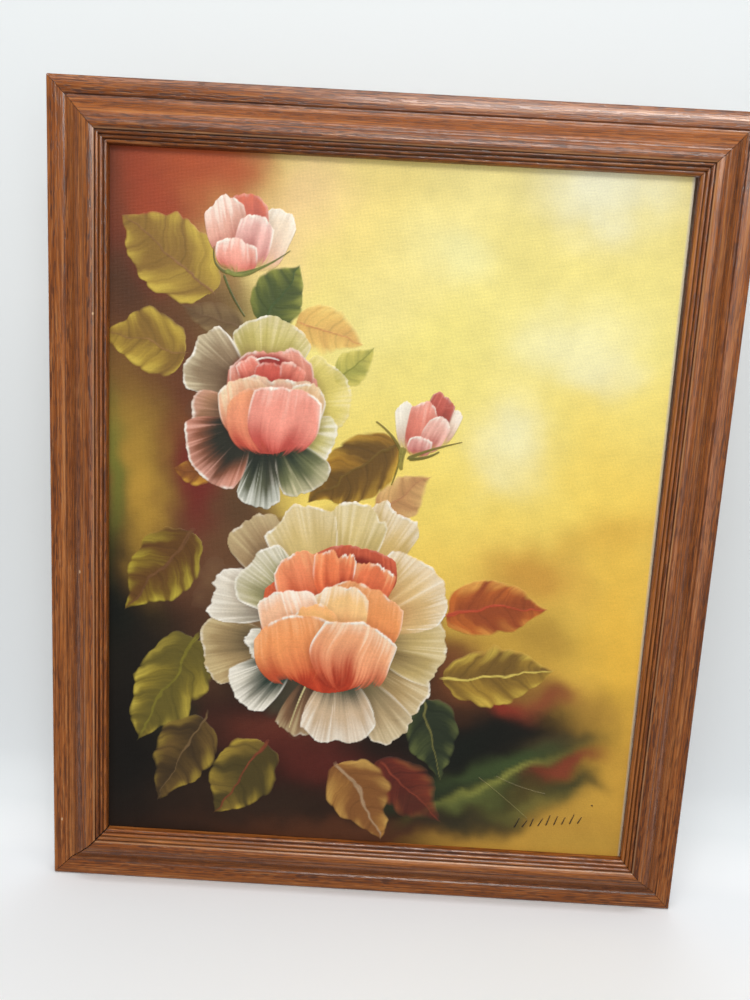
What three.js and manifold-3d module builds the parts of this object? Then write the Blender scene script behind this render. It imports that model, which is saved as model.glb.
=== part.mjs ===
// Framed oil painting: a canvas stretched over four bars and held in a mitred oak frame.
//
// Millimetres, +Z up, +X to the right of someone who faces the picture, which looks towards -Y.
// The origin is on the flat back of the top rail, midway along it, where the frame meets the wall.

import * as THREE from 'three';
import { mergeVertices } from 'three/addons/utils/BufferGeometryUtils.js';
import Module from 'manifold-3d';

const wasm = await Module();
wasm.setup();

// ---- driving dimensions of the frame
const SIGHT_WIDTH = 396; // the opening that shows the picture
const SIGHT_HEIGHT = 498;
const RAIL_WIDTH = 44; // the moulding, from its outer edge to the sight edge
const RABBET_WIDTH = 6.35; // how far the lip reaches over the canvas
const RABBET_DEPTH = 17; // from the back of the frame to the lip

// ---- the moulding's section: heights are above the flat back
const BAND_HEIGHT = 15; // plain outer band
const BAND_WIDTH = 11.4;
const BAND_CROWN = 0.4;
const OUTER_ROUND = 1.6;
const QUIRK_DEPTH = 0.7; // small step between the band and the ogee
const OGEE_START = 12.4;
const OGEE_END = 28.2;
const OGEE_RISE = 9.6;
const ARRIS_STEP = 0.9; // step from the ogee up to the ridge
const ARRIS_RUN = 0.3; // and how far it leans
const RIDGE_END = 36.7;
const RIDGE_LIFT = 0.6; // the ridge's inner side, above its outer side
const RIDGE_CROWN = 1.6;
const REED_COUNT = 3;
const REED_START = 37;
const REED_TOP = 10.3; // foot of the ridge, above the band
const SIGHT_TOP = 5.3; // sight edge, above the band
const REED_BULGE = 0.75;

// ---- how many straight steps stand for each curve of the section
const ROUND_STEPS = 5;
const BAND_STEPS = 6;
const OGEE_STEPS = 16;
const RIDGE_STEPS = 10;
const REED_STEPS = 7;

// ---- the canvas and its stretcher bars
const CANVAS_WIDTH = 400;
const CANVAS_HEIGHT = 508;
const CLOTH = 0.8;
const TACKING_MARGIN = 22; // cloth folded on to the back of the bars
const CORNER_ROUND = 0.6;
const OPENING_ROUND = 3; // corners of the opening that the margins leave behind
const CORNER_STEPS = 4;
const BAR_WIDTH = 36;
const BAR_DEPTH = 13.8;
const BAR_BEAD = 6; // flat outer edge that the cloth bears on
const BAR_BEVEL = 2.5; // how far the rest of the face falls away from the cloth
const CANVAS_TURN = 0.3; // degrees that the canvas leans to the left in the rabbet

// ---- clearances
const GAP = 0.3; // between pieces that touch
const OPEN_MITRE = 0.6; // how far the lower left joint has opened at the sight edge

// ---- worked out from those
const OUTER_WIDTH = SIGHT_WIDTH + 2 * RAIL_WIDTH;
const OUTER_HEIGHT = SIGHT_HEIGHT + 2 * RAIL_WIDTH;
const FLAT_BACK = RAIL_WIDTH - RABBET_WIDTH;
const TOP = FLAT_BACK / 2;
const MIDDLE = TOP - OUTER_HEIGHT / 2;

const oak = new THREE.MeshStandardMaterial({ color: 0x8a5635, roughness: 0.45, metalness: 0 });
const pine = new THREE.MeshStandardMaterial({ color: 0xcfae7d, roughness: 0.8, metalness: 0 });
const paintedCloth = new THREE.MeshStandardMaterial({ color: 0xb89a3c, roughness: 0.6, metalness: 0 });

// ---------------------------------------------------------------- outlines

// Adds a circular arc from the last point to `end`. It bulges by `bulge` to the left of its chord.
function arcTo(points, end, bulge, steps) {
  const start = points[points.length - 1];
  const chord = new THREE.Vector2(...end).sub(new THREE.Vector2(...start));
  const half = chord.length() / 2;
  const along = chord.clone().normalize();
  const left = new THREE.Vector2(-along.y, along.x);
  const radius = (half * half + bulge * bulge) / (2 * Math.abs(bulge));
  const sweep = Math.asin(Math.min(1, half / radius));
  const side = Math.sign(bulge);
  for (let i = 1; i <= steps; i += 1) {
    const angle = -sweep + (2 * sweep * i) / steps;
    const run = half + radius * Math.sin(angle);
    const rise = side * radius * (Math.cos(angle) - Math.cos(sweep));
    points.push([
      start[0] + along.x * run + left.x * rise,
      start[1] + along.y * run + left.y * rise,
    ]);
  }
}

// The section of the oak moulding: [distance in from the outer edge, height above the back].
function mouldingSection() {
  const points = [[0, 0], [0, BAND_HEIGHT - OUTER_ROUND]];
  arcTo(points, [OUTER_ROUND, BAND_HEIGHT], OUTER_ROUND * (1 - Math.SQRT1_2), ROUND_STEPS);
  arcTo(points, [BAND_WIDTH, BAND_HEIGHT], BAND_CROWN, BAND_STEPS);
  points.push([OGEE_START, BAND_HEIGHT - QUIRK_DEPTH]);

  const ogeeRun = OGEE_END - OGEE_START;
  const ogeeHeight = OGEE_RISE + QUIRK_DEPTH;
  for (let i = 1; i <= OGEE_STEPS; i += 1) {
    const t = i / OGEE_STEPS;
    const rise = t * t * (3 - 2 * t);
    points.push([OGEE_START + ogeeRun * t, BAND_HEIGHT - QUIRK_DEPTH + ogeeHeight * rise]);
  }

  const ridgeStart = BAND_HEIGHT + OGEE_RISE + ARRIS_STEP;
  points.push([OGEE_END + ARRIS_RUN, ridgeStart]);
  arcTo(points, [RIDGE_END, ridgeStart + RIDGE_LIFT], RIDGE_CROWN, RIDGE_STEPS);

  const reedWidth = (RAIL_WIDTH - REED_START) / REED_COUNT;
  const reedFall = (REED_TOP - SIGHT_TOP) / REED_COUNT;
  points.push([REED_START, BAND_HEIGHT + REED_TOP]);
  for (let i = 1; i <= REED_COUNT; i += 1) {
    const foot = [REED_START + reedWidth * i, BAND_HEIGHT + REED_TOP - reedFall * i];
    arcTo(points, foot, REED_BULGE, REED_STEPS);
  }
  points.push([RAIL_WIDTH, RABBET_DEPTH], [FLAT_BACK, RABBET_DEPTH], [FLAT_BACK, 0]);
  return points;
}

// The section of a stretcher bar, on the same axes: a flat bead, then a face that falls away.
function barSection() {
  return [
    [0, 0],
    [0, BAR_DEPTH],
    [BAR_BEAD, BAR_DEPTH],
    [BAR_BEAD + BAR_BEVEL, BAR_DEPTH - BAR_BEVEL],
    [BAR_WIDTH, BAR_DEPTH - BAR_BEVEL],
    [BAR_WIDTH, 0],
  ];
}

// ---------------------------------------------------------------- mitred rails

// A length of `section` with both ends cut at 45 degrees. It lies along X with its outer edge on
// Z = 0, its width up +Z and its face towards -Y. `opened` widens an end's joint at the inner edge.
function mitredRail(section, length, opened = [0, 0]) {
  const outline = new THREE.Shape(section.map(([across, height]) => new THREE.Vector2(across, height)));
  const geometry = new THREE.ExtrudeGeometry(outline, { depth: 1, steps: 1, bevelEnabled: false });
  const width = Math.max(...section.map(([across]) => across));
  const setBack = (GAP / 2) * Math.SQRT2;
  const position = geometry.getAttribute('position');
  for (let i = 0; i < position.count; i += 1) {
    const across = position.getX(i);
    const height = position.getY(i);
    const end = Math.round(position.getZ(i));
    const reach = length / 2 - across - setBack - (opened[end] * across) / width;
    position.setXYZ(i, end === 0 ? -reach : reach, -height, across);
  }
  geometry.computeVertexNormals();
  return geometry;
}

// Four mitred rails round a rectangle centred on X = 0, Z = 0.
function mitredFrame(name, section, width, height, material, openLowerLeft = 0) {
  const frame = new THREE.Group();
  const sides = [
    { side: 'bottom', length: width, turn: 0, x: 0, z: -height / 2, opened: [openLowerLeft, 0] },
    { side: 'left', length: height, turn: 90, x: -width / 2, z: 0, opened: [0, openLowerLeft] },
    { side: 'top', length: width, turn: 180, x: 0, z: height / 2, opened: [0, 0] },
    { side: 'right', length: height, turn: -90, x: width / 2, z: 0, opened: [0, 0] },
  ];
  for (const { side, length, turn, x, z, opened } of sides) {
    const rail = new THREE.Mesh(mitredRail(section, length, opened), material);
    rail.name = `${name}_${side}`;
    rail.rotation.y = THREE.MathUtils.degToRad(turn);
    rail.position.set(x, 0, z);
    frame.add(rail);
  }
  return frame;
}

// ---------------------------------------------------------------- the canvas

// A closed three.js geometry as a manifold-3d solid.
function solidOf(geometry) {
  geometry.deleteAttribute('normal');
  geometry.deleteAttribute('uv');
  const merged = mergeVertices(geometry);
  return new wasm.Manifold(new wasm.Mesh({
    numProp: 3,
    vertProperties: new Float32Array(merged.getAttribute('position').array),
    triVerts: new Uint32Array(merged.getIndex().array),
  }));
}

// A block centred on X = 0, Z = 0 that runs from `front` to `back` along Y, with round corners.
function block(width, height, front, back, round) {
  const outline = new THREE.Shape();
  const [w, h] = [width / 2, height / 2];
  const corners = [[w, h, 0], [-w, h, 90], [-w, -h, 180], [w, -h, 270]];
  for (const [x, z, start] of corners) {
    const from = THREE.MathUtils.degToRad(start);
    const centre = [x - Math.sign(x) * round, z - Math.sign(z) * round];
    outline.absarc(...centre, round, from, from + Math.PI / 2, false);
  }
  const geometry = new THREE.ExtrudeGeometry(outline, {
    depth: back - front, bevelEnabled: false, curveSegments: CORNER_STEPS,
  });
  geometry.rotateX(Math.PI / 2);
  geometry.translate(0, back, 0);
  return solidOf(geometry);
}

// Cloth over the front and sides of the bars, with its margins folded on to their backs.
function foldedCanvas(front, back) {
  const inset = (by) => [CANVAS_WIDTH - 2 * by, CANVAS_HEIGHT - 2 * by];
  const outer = block(...inset(0), front, back, CORNER_ROUND + CLOTH);
  const hollow = block(...inset(CLOTH), front + CLOTH, back - CLOTH, CORNER_ROUND);
  const opening = block(...inset(TACKING_MARGIN), back - 2 * CLOTH, back + CLOTH, OPENING_ROUND);
  const { vertProperties, triVerts, numProp } = outer.subtract(hollow).subtract(opening).getMesh();
  if (numProp !== 3) throw new Error('the canvas should hold positions only');
  const geometry = new THREE.BufferGeometry();
  geometry.setAttribute('position', new THREE.Float32BufferAttribute(vertProperties, 3));
  geometry.setIndex(new THREE.Uint32BufferAttribute(triVerts, 1));
  geometry.computeVertexNormals();
  return geometry;
}

// ---------------------------------------------------------------- assembly

const painting = new THREE.Group();

const frame = mitredFrame('frame_rail', mouldingSection(), OUTER_WIDTH, OUTER_HEIGHT, oak, OPEN_MITRE);
frame.position.z = MIDDLE;
painting.add(frame);

const clothFront = -(RABBET_DEPTH - GAP);
const barFront = clothFront + CLOTH + GAP;
const clothBack = barFront + BAR_DEPTH + GAP + CLOTH;
const bars = mitredFrame(
  'stretcher_bar',
  barSection(),
  CANVAS_WIDTH - 2 * (CLOTH + GAP),
  CANVAS_HEIGHT - 2 * (CLOTH + GAP),
  pine,
);
bars.position.y = barFront + BAR_DEPTH;

const canvas = new THREE.Mesh(foldedCanvas(clothFront, clothBack), paintedCloth);
canvas.name = 'canvas';

// The stretched canvas is pushed to the left of the rabbet and turned a little in it.
const lean = THREE.MathUtils.degToRad(CANVAS_TURN);
const rabbetHalfWidth = SIGHT_WIDTH / 2 + RABBET_WIDTH;
const canvasHalfReach = (CANVAS_WIDTH * Math.cos(lean) + CANVAS_HEIGHT * Math.sin(lean)) / 2;
const stretchedCanvas = new THREE.Group();
stretchedCanvas.add(canvas, bars);
stretchedCanvas.rotation.y = -lean;
stretchedCanvas.position.set(-(rabbetHalfWidth - GAP - canvasHalfReach), 0, MIDDLE);
painting.add(stretchedCanvas);

export default painting;
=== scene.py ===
# %% [markdown]
# # A framed oil painting of roses
# The real thing is a stretched canvas in a frame of stained oak. The construction, in true sizes,
# comes from the loaded frame: four mitred rails, four stretcher bars and a tray that stands for
# the cloth. This lesson gives them their looks. The wood gets grain and lacquer, the cloth gets
# its weave, its margins and its staples, and the picture is laid on it petal by petal.

# %% Load the construction
import math

import bpy
import numpy as np
from mathutils import Euler, Matrix, Vector


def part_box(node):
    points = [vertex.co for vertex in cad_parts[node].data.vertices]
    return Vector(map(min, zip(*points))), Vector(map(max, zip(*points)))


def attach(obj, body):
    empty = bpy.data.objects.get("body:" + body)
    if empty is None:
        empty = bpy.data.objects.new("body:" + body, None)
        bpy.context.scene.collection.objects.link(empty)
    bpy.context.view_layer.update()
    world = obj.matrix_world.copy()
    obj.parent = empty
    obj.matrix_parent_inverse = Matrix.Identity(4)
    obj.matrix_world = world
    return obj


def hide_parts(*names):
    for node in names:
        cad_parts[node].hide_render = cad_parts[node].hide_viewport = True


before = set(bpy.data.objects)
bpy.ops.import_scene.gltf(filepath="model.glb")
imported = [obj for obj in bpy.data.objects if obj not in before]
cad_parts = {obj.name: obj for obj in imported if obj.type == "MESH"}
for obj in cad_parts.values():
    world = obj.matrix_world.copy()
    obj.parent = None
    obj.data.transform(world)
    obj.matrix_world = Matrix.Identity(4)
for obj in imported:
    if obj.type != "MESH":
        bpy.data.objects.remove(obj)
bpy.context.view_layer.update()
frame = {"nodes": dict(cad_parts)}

MM = 0.001
BODY = "root"
print("nodes:", ", ".join(frame["nodes"]))

# %% [markdown]
# ## Measures
# A frame maker speaks of the sight opening: what the frame leaves to see of the picture. All
# places in the picture are given from its upper left corner, in millimetres across and down, and
# one function turns them into the model's metres.

# %% The sight opening, measured on the rails
sight_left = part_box("frame_rail_left")[1][0]
sight_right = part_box("frame_rail_right")[0][0]
sight_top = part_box("frame_rail_top")[0][2]
sight_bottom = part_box("frame_rail_bottom")[1][2]
outer_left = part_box("frame_rail_left")[0][0]
outer_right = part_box("frame_rail_right")[1][0]
outer_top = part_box("frame_rail_top")[1][2]
outer_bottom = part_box("frame_rail_bottom")[0][2]
cloth_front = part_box("canvas")[0][1]
cloth_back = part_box("canvas")[1][1]

SIGHT_WIDE = (sight_right - sight_left) / MM
SIGHT_HIGH = (sight_top - sight_bottom) / MM


def in_metres(across, down):
    """A place in the picture, in the model's x and z."""
    return sight_left + across * MM, sight_top - down * MM


print(f"sight opening {SIGHT_WIDE:.1f} x {SIGHT_HIGH:.1f} mm")

# %% [markdown]
# ## Noise for a painter
# Nothing on a painting is quite even, but it must come out the same each time. A small table of
# seeded numbers, read with smooth steps between its entries, is enough for the ruffle of a petal,
# the hairs of a brush and the drift of a background.

# %% Seeded noise
TABLE_SEED, TABLE_SIZE = 11, 128
TABLE = np.random.RandomState(TABLE_SEED).rand(TABLE_SIZE, TABLE_SIZE)


def smooth(t):
    """0 to 1 with no corners."""
    t = np.clip(t, 0.0, 1.0)
    return t * t * (3.0 - 2.0 * t)


def noise(x, y=0.0):
    """Smooth values from 0 to 1, one cell for each whole number."""
    x, y = np.broadcast_arrays(np.asarray(x, float), np.asarray(y, float))
    cell_x, cell_y = np.floor(x).astype(int), np.floor(y).astype(int)
    fx, fy = smooth(x - cell_x), smooth(y - cell_y)
    column, row = cell_x % TABLE_SIZE, cell_y % TABLE_SIZE
    next_column, next_row = (cell_x + 1) % TABLE_SIZE, (cell_y + 1) % TABLE_SIZE
    near = TABLE[column, row] * (1 - fx) + TABLE[next_column, row] * fx
    far = TABLE[column, next_row] * (1 - fx) + TABLE[next_column, next_row] * fx
    return near * (1 - fy) + far * fy


def drift(x, y, seed=0):
    """Three octaves of noise, about zero."""
    total = np.zeros(np.broadcast(x, y).shape)
    for octave in range(3):
        scale = 2.0 ** octave
        total += (noise(x * scale + 17.3 * seed, y * scale + 9.1 * seed) - 0.5) / scale
    return total


print(f"a table of {TABLE.size} numbers")


# %% Colours, named as on a palette
def tint(red, green, blue):
    """A colour as seen on a screen, made linear for the shader."""
    seen = np.array([red, green, blue]) / 255.0
    return np.where(seen <= 0.04045, seen / 12.92, ((seen + 0.055) / 1.055) ** 2.4)


def mixed(one, other, share):
    """From one to the other, as share goes from 0 to 1."""
    share = np.asarray(share)[..., None]
    return one * (1 - share) + other * share


TITANIUM = tint(252, 246, 232)
CREAM = tint(240, 226, 188)
IVORY = tint(226, 208, 158)
SAP = tint(70, 82, 36)
BLACK_BROWN = tint(38, 30, 23)
CORAL = tint(232, 122, 84)
PEACH = tint(246, 180, 126)
ROSE = tint(226, 132, 116)
PINK = tint(246, 190, 172)

# %% [markdown]
# ## The ground
# Wet paint was rubbed into wet paint here, so there are no edges. The picture falls into a dark
# side, at the left and below, and a light side. The dark side is rust above, then umber, then
# near black. The light side goes from lemon to gold as it comes down. Softer areas are laid over
# both: each is one oval that fades at its rim, and a slow drift bends them all.

# %% The two sides of the ground
DARK_SIDE = [  # down, colour: from the top of the picture to its foot
    (0, tint(150, 72, 40)),
    (60, tint(112, 58, 36)),
    (110, tint(100, 62, 36)),
    (190, tint(122, 84, 42)),
    (260, tint(100, 62, 40)),
    (330, tint(38, 29, 20)),
    (420, tint(27, 21, 15)),
    (498, tint(42, 27, 18)),
]
LIGHT_SIDE = [
    (0, tint(232, 216, 134)),
    (120, tint(240, 226, 132)),
    (230, tint(244, 217, 108)),
    (330, tint(232, 187, 76)),
    (420, tint(206, 159, 64)),
    (498, tint(194, 151, 62)),
]
DIVIDE = [  # down, across: where dark turns to light
    (0, 106), (60, 70), (120, 92), (200, 112), (250, 132), (300, 214), (345, 262), (372, 318),
    (405, 366), (440, 362), (475, 322), (498, 250),
]


def down_the(list_of_stops, down):
    """What the list gives at this height, whether numbers or colours."""
    places = [stop[0] for stop in list_of_stops]
    values = np.array([stop[1] for stop in list_of_stops], float)
    if values.ndim == 1:
        return np.interp(down, places, values)
    return np.stack([np.interp(down, places, values[:, i]) for i in range(values.shape[1])], -1)


# %% Soft areas laid over them
GROUND = [  # colour, across, down, half width, half height, tilt in degrees, strength
    ((238, 214, 128), 160, 30, 80, 60, 50, 0.7),
    ((243, 228, 150), 226, 50, 30, 140, -36, 0.6),
    ((244, 241, 206), 336, 8, 40, 26, 0, 0.95),
    ((246, 240, 186), 330, 116, 40, 32, 10, 0.8),
    ((244, 240, 196), 352, 132, 24, 16, 20, 0.6),
    ((242, 236, 170), 238, 62, 30, 20, -30, 0.7),
    ((246, 240, 190), 288, 186, 34, 24, -55, 0.85),
    ((246, 210, 92), 362, 240, 34, 90, 0, 0.55),
    ((238, 186, 66), 378, 330, 26, 90, 0, 0.7),
    ((210, 160, 62), 350, 262, 54, 16, 16, 0.5),
    ((240, 206, 146), 130, 40, 26, 56, -32, 0.85),
    ((178, 80, 44), 74, 8, 34, 48, 16, 0.92),
    ((164, 68, 40), 38, 34, 20, 56, 30, 0.8),
    ((112, 54, 34), 0, 28, 24, 76, 0, 0.95),
    ((122, 50, 34), 44, 78, 46, 16, -20, 0.8),
    ((80, 52, 34), 10, 88, 34, 28, 0, 0.9),
    ((96, 66, 40), 66, 112, 30, 22, 0, 0.6),
    ((96, 52, 34), 58, 150, 26, 34, 0, 0.7),
    ((160, 126, 50), 20, 218, 26, 56, 4, 0.9),
    ((190, 148, 58), 24, 258, 12, 44, 8, 0.9),
    ((112, 116, 46), 3, 232, 9, 70, 2, 0.85),
    ((114, 42, 34), 64, 236, 20, 62, 8, 1.0),
    ((86, 62, 40), 96, 250, 20, 24, 0, 0.8),
    ((110, 78, 50), 84, 290, 24, 36, 0, 0.7),
    ((17, 19, 14), 2, 322, 26, 60, 0, 1.0),
    ((84, 54, 36), 76, 352, 26, 46, 4, 0.8),
    ((64, 34, 26), 92, 398, 30, 20, 0, 0.7),
    ((21, 18, 14), 10, 440, 44, 56, 0, 0.95),
    ((38, 40, 26), 52, 398, 20, 20, 0, 0.7),
    ((196, 140, 56), 316, 286, 40, 18, -14, 0.8),
    ((172, 134, 54), 314, 328, 44, 22, -6, 0.8),
    ((122, 70, 38), 254, 352, 24, 34, 0, 0.9),
    ((142, 102, 46), 300, 366, 36, 16, -10, 0.9),
    ((142, 44, 34), 288, 380, 20, 9, -14, 0.8),
    ((140, 66, 44), 322, 376, 26, 12, 12, 0.8),
    ((150, 112, 48), 358, 384, 26, 20, 20, 0.7),
    ((20, 20, 15), 284, 408, 54, 16, 8, 1.0),
    ((72, 60, 36), 336, 412, 30, 11, 12, 0.8),
    ((19, 24, 17), 252, 428, 30, 22, 8, 0.95),
    ((104, 50, 36), 128, 414, 44, 18, 6, 0.8),
    ((96, 38, 30), 168, 436, 50, 22, -8, 0.75),
    ((56, 38, 26), 116, 470, 60, 18, 0, 0.7),
    ((92, 52, 31), 180, 494, 90, 12, 0, 0.8),
    ((66, 82, 44), 292, 438, 56, 9, 25, 0.9),
    ((40, 48, 30), 250, 462, 36, 12, 16, 0.85),
    ((142, 142, 66), 297, 448, 46, 4, 31, 0.9),
    ((96, 104, 52), 284, 462, 36, 6, 26, 0.7),
    ((134, 60, 40), 346, 430, 28, 7, 26, 0.9),
    ((40, 50, 32), 352, 446, 26, 8, 14, 0.85),
    ((112, 112, 56), 320, 462, 34, 8, 14, 0.6),
    ((46, 46, 32), 284, 480, 34, 8, 14, 0.85),
    ((192, 147, 60), 356, 484, 52, 14, 6, 0.95),
    ((206, 158, 62), 386, 440, 15, 48, 0, 0.9),
]


# %% The colour of the ground
WANDER, TREMBLE = 22, 5  # mm that the soft edges stray, broadly and finely


def strayed(value, broad, fine):
    return value + WANDER * broad + TREMBLE * fine


def ground_colour(across, down):
    """The colour of the rubbed ground at each place."""
    bend_a = strayed(across, drift(across / 60, down / 60, 1), drift(across / 11, down / 16, 7))
    bend_d = strayed(down, drift(across / 55, down / 55, 2), drift(across / 13, down / 12, 8))
    divide = down_the(DIVIDE, bend_d)
    width = 26 + 22 * noise(bend_d / 50, 3.3)
    light_share = smooth(0.5 + (bend_a - divide) / (2 * width))
    colour = mixed(down_the(DARK_SIDE, bend_d), down_the(LIGHT_SIDE, bend_d), light_share)
    for area, middle_a, middle_d, half_a, half_d, tilt, strength in GROUND:
        area = tint(*area)
        cos, sin = math.cos(math.radians(tilt)), math.sin(math.radians(tilt))
        off_a, off_d = bend_a - middle_a, bend_d - middle_d
        along = (off_a * cos - off_d * sin) / half_a
        over = (off_a * sin + off_d * cos) / half_d
        share = strength * np.exp(-((along ** 2 + over ** 2) ** 1.2))
        colour = mixed(colour, np.broadcast_to(area, colour.shape), share)
    brush = drift((across - down * 0.7) / 26, (down + across * 0.6) / 2.6, 4)
    broad = drift(across / 30, down / 20, 5)
    return np.clip(colour * (1 + 0.05 * brush * (1.4 - light_share) + 0.07 * broad)[..., None], 0, 1)


print(f"{len(GROUND)} soft areas on the ground")

# %% [markdown]
# ## Paint that remembers what it covers
# A petal in this picture is a loaded brush pulled from the heart outwards, and its edge is partly
# lost in what lies beneath. So each new touch is mixed into the colour already there, and raises
# the paint a little. The same record serves the mesh's colours and its relief.


# %% A record of colour and thickness
KEPT_HEIGHT = 0.6  # the share of its wet height that paint keeps as it dries


class Paint:
    """Colour and height of the paint at a set of places, in the order it was laid."""

    def __init__(self, across, down):
        self.across, self.down = across, down
        self.colour = ground_colour(across, down)
        self.height = np.zeros(len(across))
        self.fresh = np.zeros(len(across))

    def near(self, middle, radius):
        return np.flatnonzero(np.hypot(self.across - middle[0], self.down - middle[1]) < radius)

    def lay(self, spots, colour, cover, height):
        self.colour[spots] = mixed(self.colour[spots], colour, cover)
        self.height[spots] += KEPT_HEIGHT * height * cover
        self.fresh[spots] = np.maximum(self.fresh[spots], cover)


# %% [markdown]
# ## One petal
# A petal fans out from its base. The rim is ruffled, hairs of the brush run outwards, the base is
# deep, the body is the petal's own colour, and the rim is picked out in thick white where the
# brush was pushed and turned. Two shapes are enough: an open petal, seen from above as a fan, and
# a cupped one, seen from its side as a rounded shell. Both share the way their paint is pulled.


# %% How the paint of a petal is pulled
HAIR = 1.3  # mm from one hair of the brush to the next
RIM_LINE = 1.1  # mm in from the rim, where the ridge of white lies
SHADE_REACH = 6.5  # mm that a petal's shade spreads over what lies beneath
SHADE_TAKES = np.array([0.50, 0.58, 0.62])  # how much red, green and blue it takes away


def pulled(paint, spots, swing, share, rim_gap, side_gap, tones, seed, hairs, light, bead, edge,
           strength, depths, shade, fade):
    """swing is -1 to 1 across, share 0 at the base to 1 at the rim, the gaps are in millimetres."""
    deep, body, rim = tones
    hair = noise(swing * hairs + 31 * seed, share * 2.2 + seed)
    lock = noise(swing * hairs / 4.5 + 13 * seed, share * 1.1 + 2 * seed)
    fold = noise(swing * 2.6 + 7 * seed, share * 0.7 + 5 * seed)
    cover = smooth(np.minimum(rim_gap, side_gap) / edge + 0.6 * (hair - 0.5)) * strength
    if fade:
        cover = cover * smooth((share - 0.05) / fade + 0.7 * (hair - 0.5) + 0.6 * (lock - 0.5))
    drag = 0.5 * (fold - 0.5) + 0.22 * (lock - 0.5) + 0.14 * (hair - 0.5)
    depth = smooth((share - depths[0]) / (depths[1] - depths[0]) + drag)
    colour = mixed(deep, body, depth)
    colour = colour * (1 + 0.10 * (hair - 0.5) + 0.12 * (lock - 0.5) + 0.26 * (fold - 0.5))[:, None]
    reach_in = 0.08 + 0.46 * lock * (0.3 + 0.7 * hair) + 0.16 * fold
    glow = smooth((share - (1 - reach_in)) / reach_in) * (0.4 + 0.6 * hair) * light
    colour = mixed(colour, rim, np.clip(glow, 0, 1))
    dragged = smooth((hair * lock - 0.42) / 0.25) * smooth((share - 0.35) / 0.5) * 0.5 * light
    colour = mixed(colour, rim, np.clip(dragged, 0, 1))
    broken = smooth((noise(swing * 4.3 + 7 * seed, 4.1 * seed) - 0.30) / 0.4)
    broken *= 0.45 + 0.75 * noise(swing * 19 + 3 * seed, 1.3 * seed)
    thick = 0.45 + 0.85 * noise(swing * 3.7 + 2 * seed, 8.7 * seed) ** 1.5 + 0.3 * hair
    line_gap = np.minimum(rim_gap, side_gap + 0.7)
    off_line = np.maximum(np.abs(line_gap - RIM_LINE) - 0.25, 0)
    line = np.exp(-(off_line / thick) ** 2) * broken * bead * 1.1
    line = np.clip(line * smooth((share - 0.40) / 0.35), 0, 1)
    colour = mixed(colour, TITANIUM * (0.86 + 0.14 * hair)[:, None], line)
    if shade:
        ring = smooth(1 + np.minimum(rim_gap, side_gap) / SHADE_REACH) * (1 - cover) * shade
        paint.colour[spots] *= 1 - ring[:, None] * SHADE_TAKES
    paint.lay(spots, np.clip(colour, 0, 1), cover, 0.08 + 0.08 * hair + 0.05 * lock + 0.30 * line)


# %% How a rim wanders
def ruffled(swing, seed, ruffle):
    """How far the rim wanders, as a share of the reach."""
    wave = (noise(swing * 2.1 + 5 * seed, 3.7 * seed) - 0.5) * 2.0
    wave += (noise(swing * 5.6 + 3 * seed, 1.7 * seed) - 0.5) * 0.9
    wave += (noise(swing * 15 + 2 * seed, 2.3 * seed) - 0.5) * 0.35
    return wave * ruffle


# %% The open petal
def petal(paint, base, aim, reach, spread, deep, body, rim, seed=0, light=0.6, bead=0.8,
          ruffle=0.05, edge=1.0, strength=1.0, deep_from=0.35, deep_to=0.85, shade=0.15):
    """aim and spread in degrees, aim 0 to the right and 90 up; reach and edge in millimetres."""
    spots = paint.near(base, reach * 1.2 + 8)
    off_a, off_d = paint.across[spots] - base[0], paint.down[spots] - base[1]
    out = np.hypot(off_a, off_d)
    turn = np.arctan2(-off_d, off_a) - math.radians(aim)
    turn = (turn + np.pi) % (2 * np.pi) - np.pi
    half_spread = math.radians(spread / 2)
    swing = turn / half_spread
    rounded = 1 - 0.16 * np.minimum(np.abs(swing), 1.2) ** 2.5
    rim_at = reach * rounded * (1 + ruffled(swing, seed, ruffle))
    share = np.clip(out / rim_at, 0, 1.3)
    belly = 0.70 + 0.34 * np.sin(np.pi * np.clip(share * 0.86, 0, 1))
    side_gap = (belly - np.abs(swing)) * half_spread * out
    pulled(paint, spots, swing, share, rim_at - out, side_gap, (deep, body, rim), seed,
           reach * half_spread / HAIR, light, bead, edge, strength, (deep_from, deep_to), shade, 0)


# %% The cupped petal
SOFTENED = 0.18  # how far a cup's tones are drawn together


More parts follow.
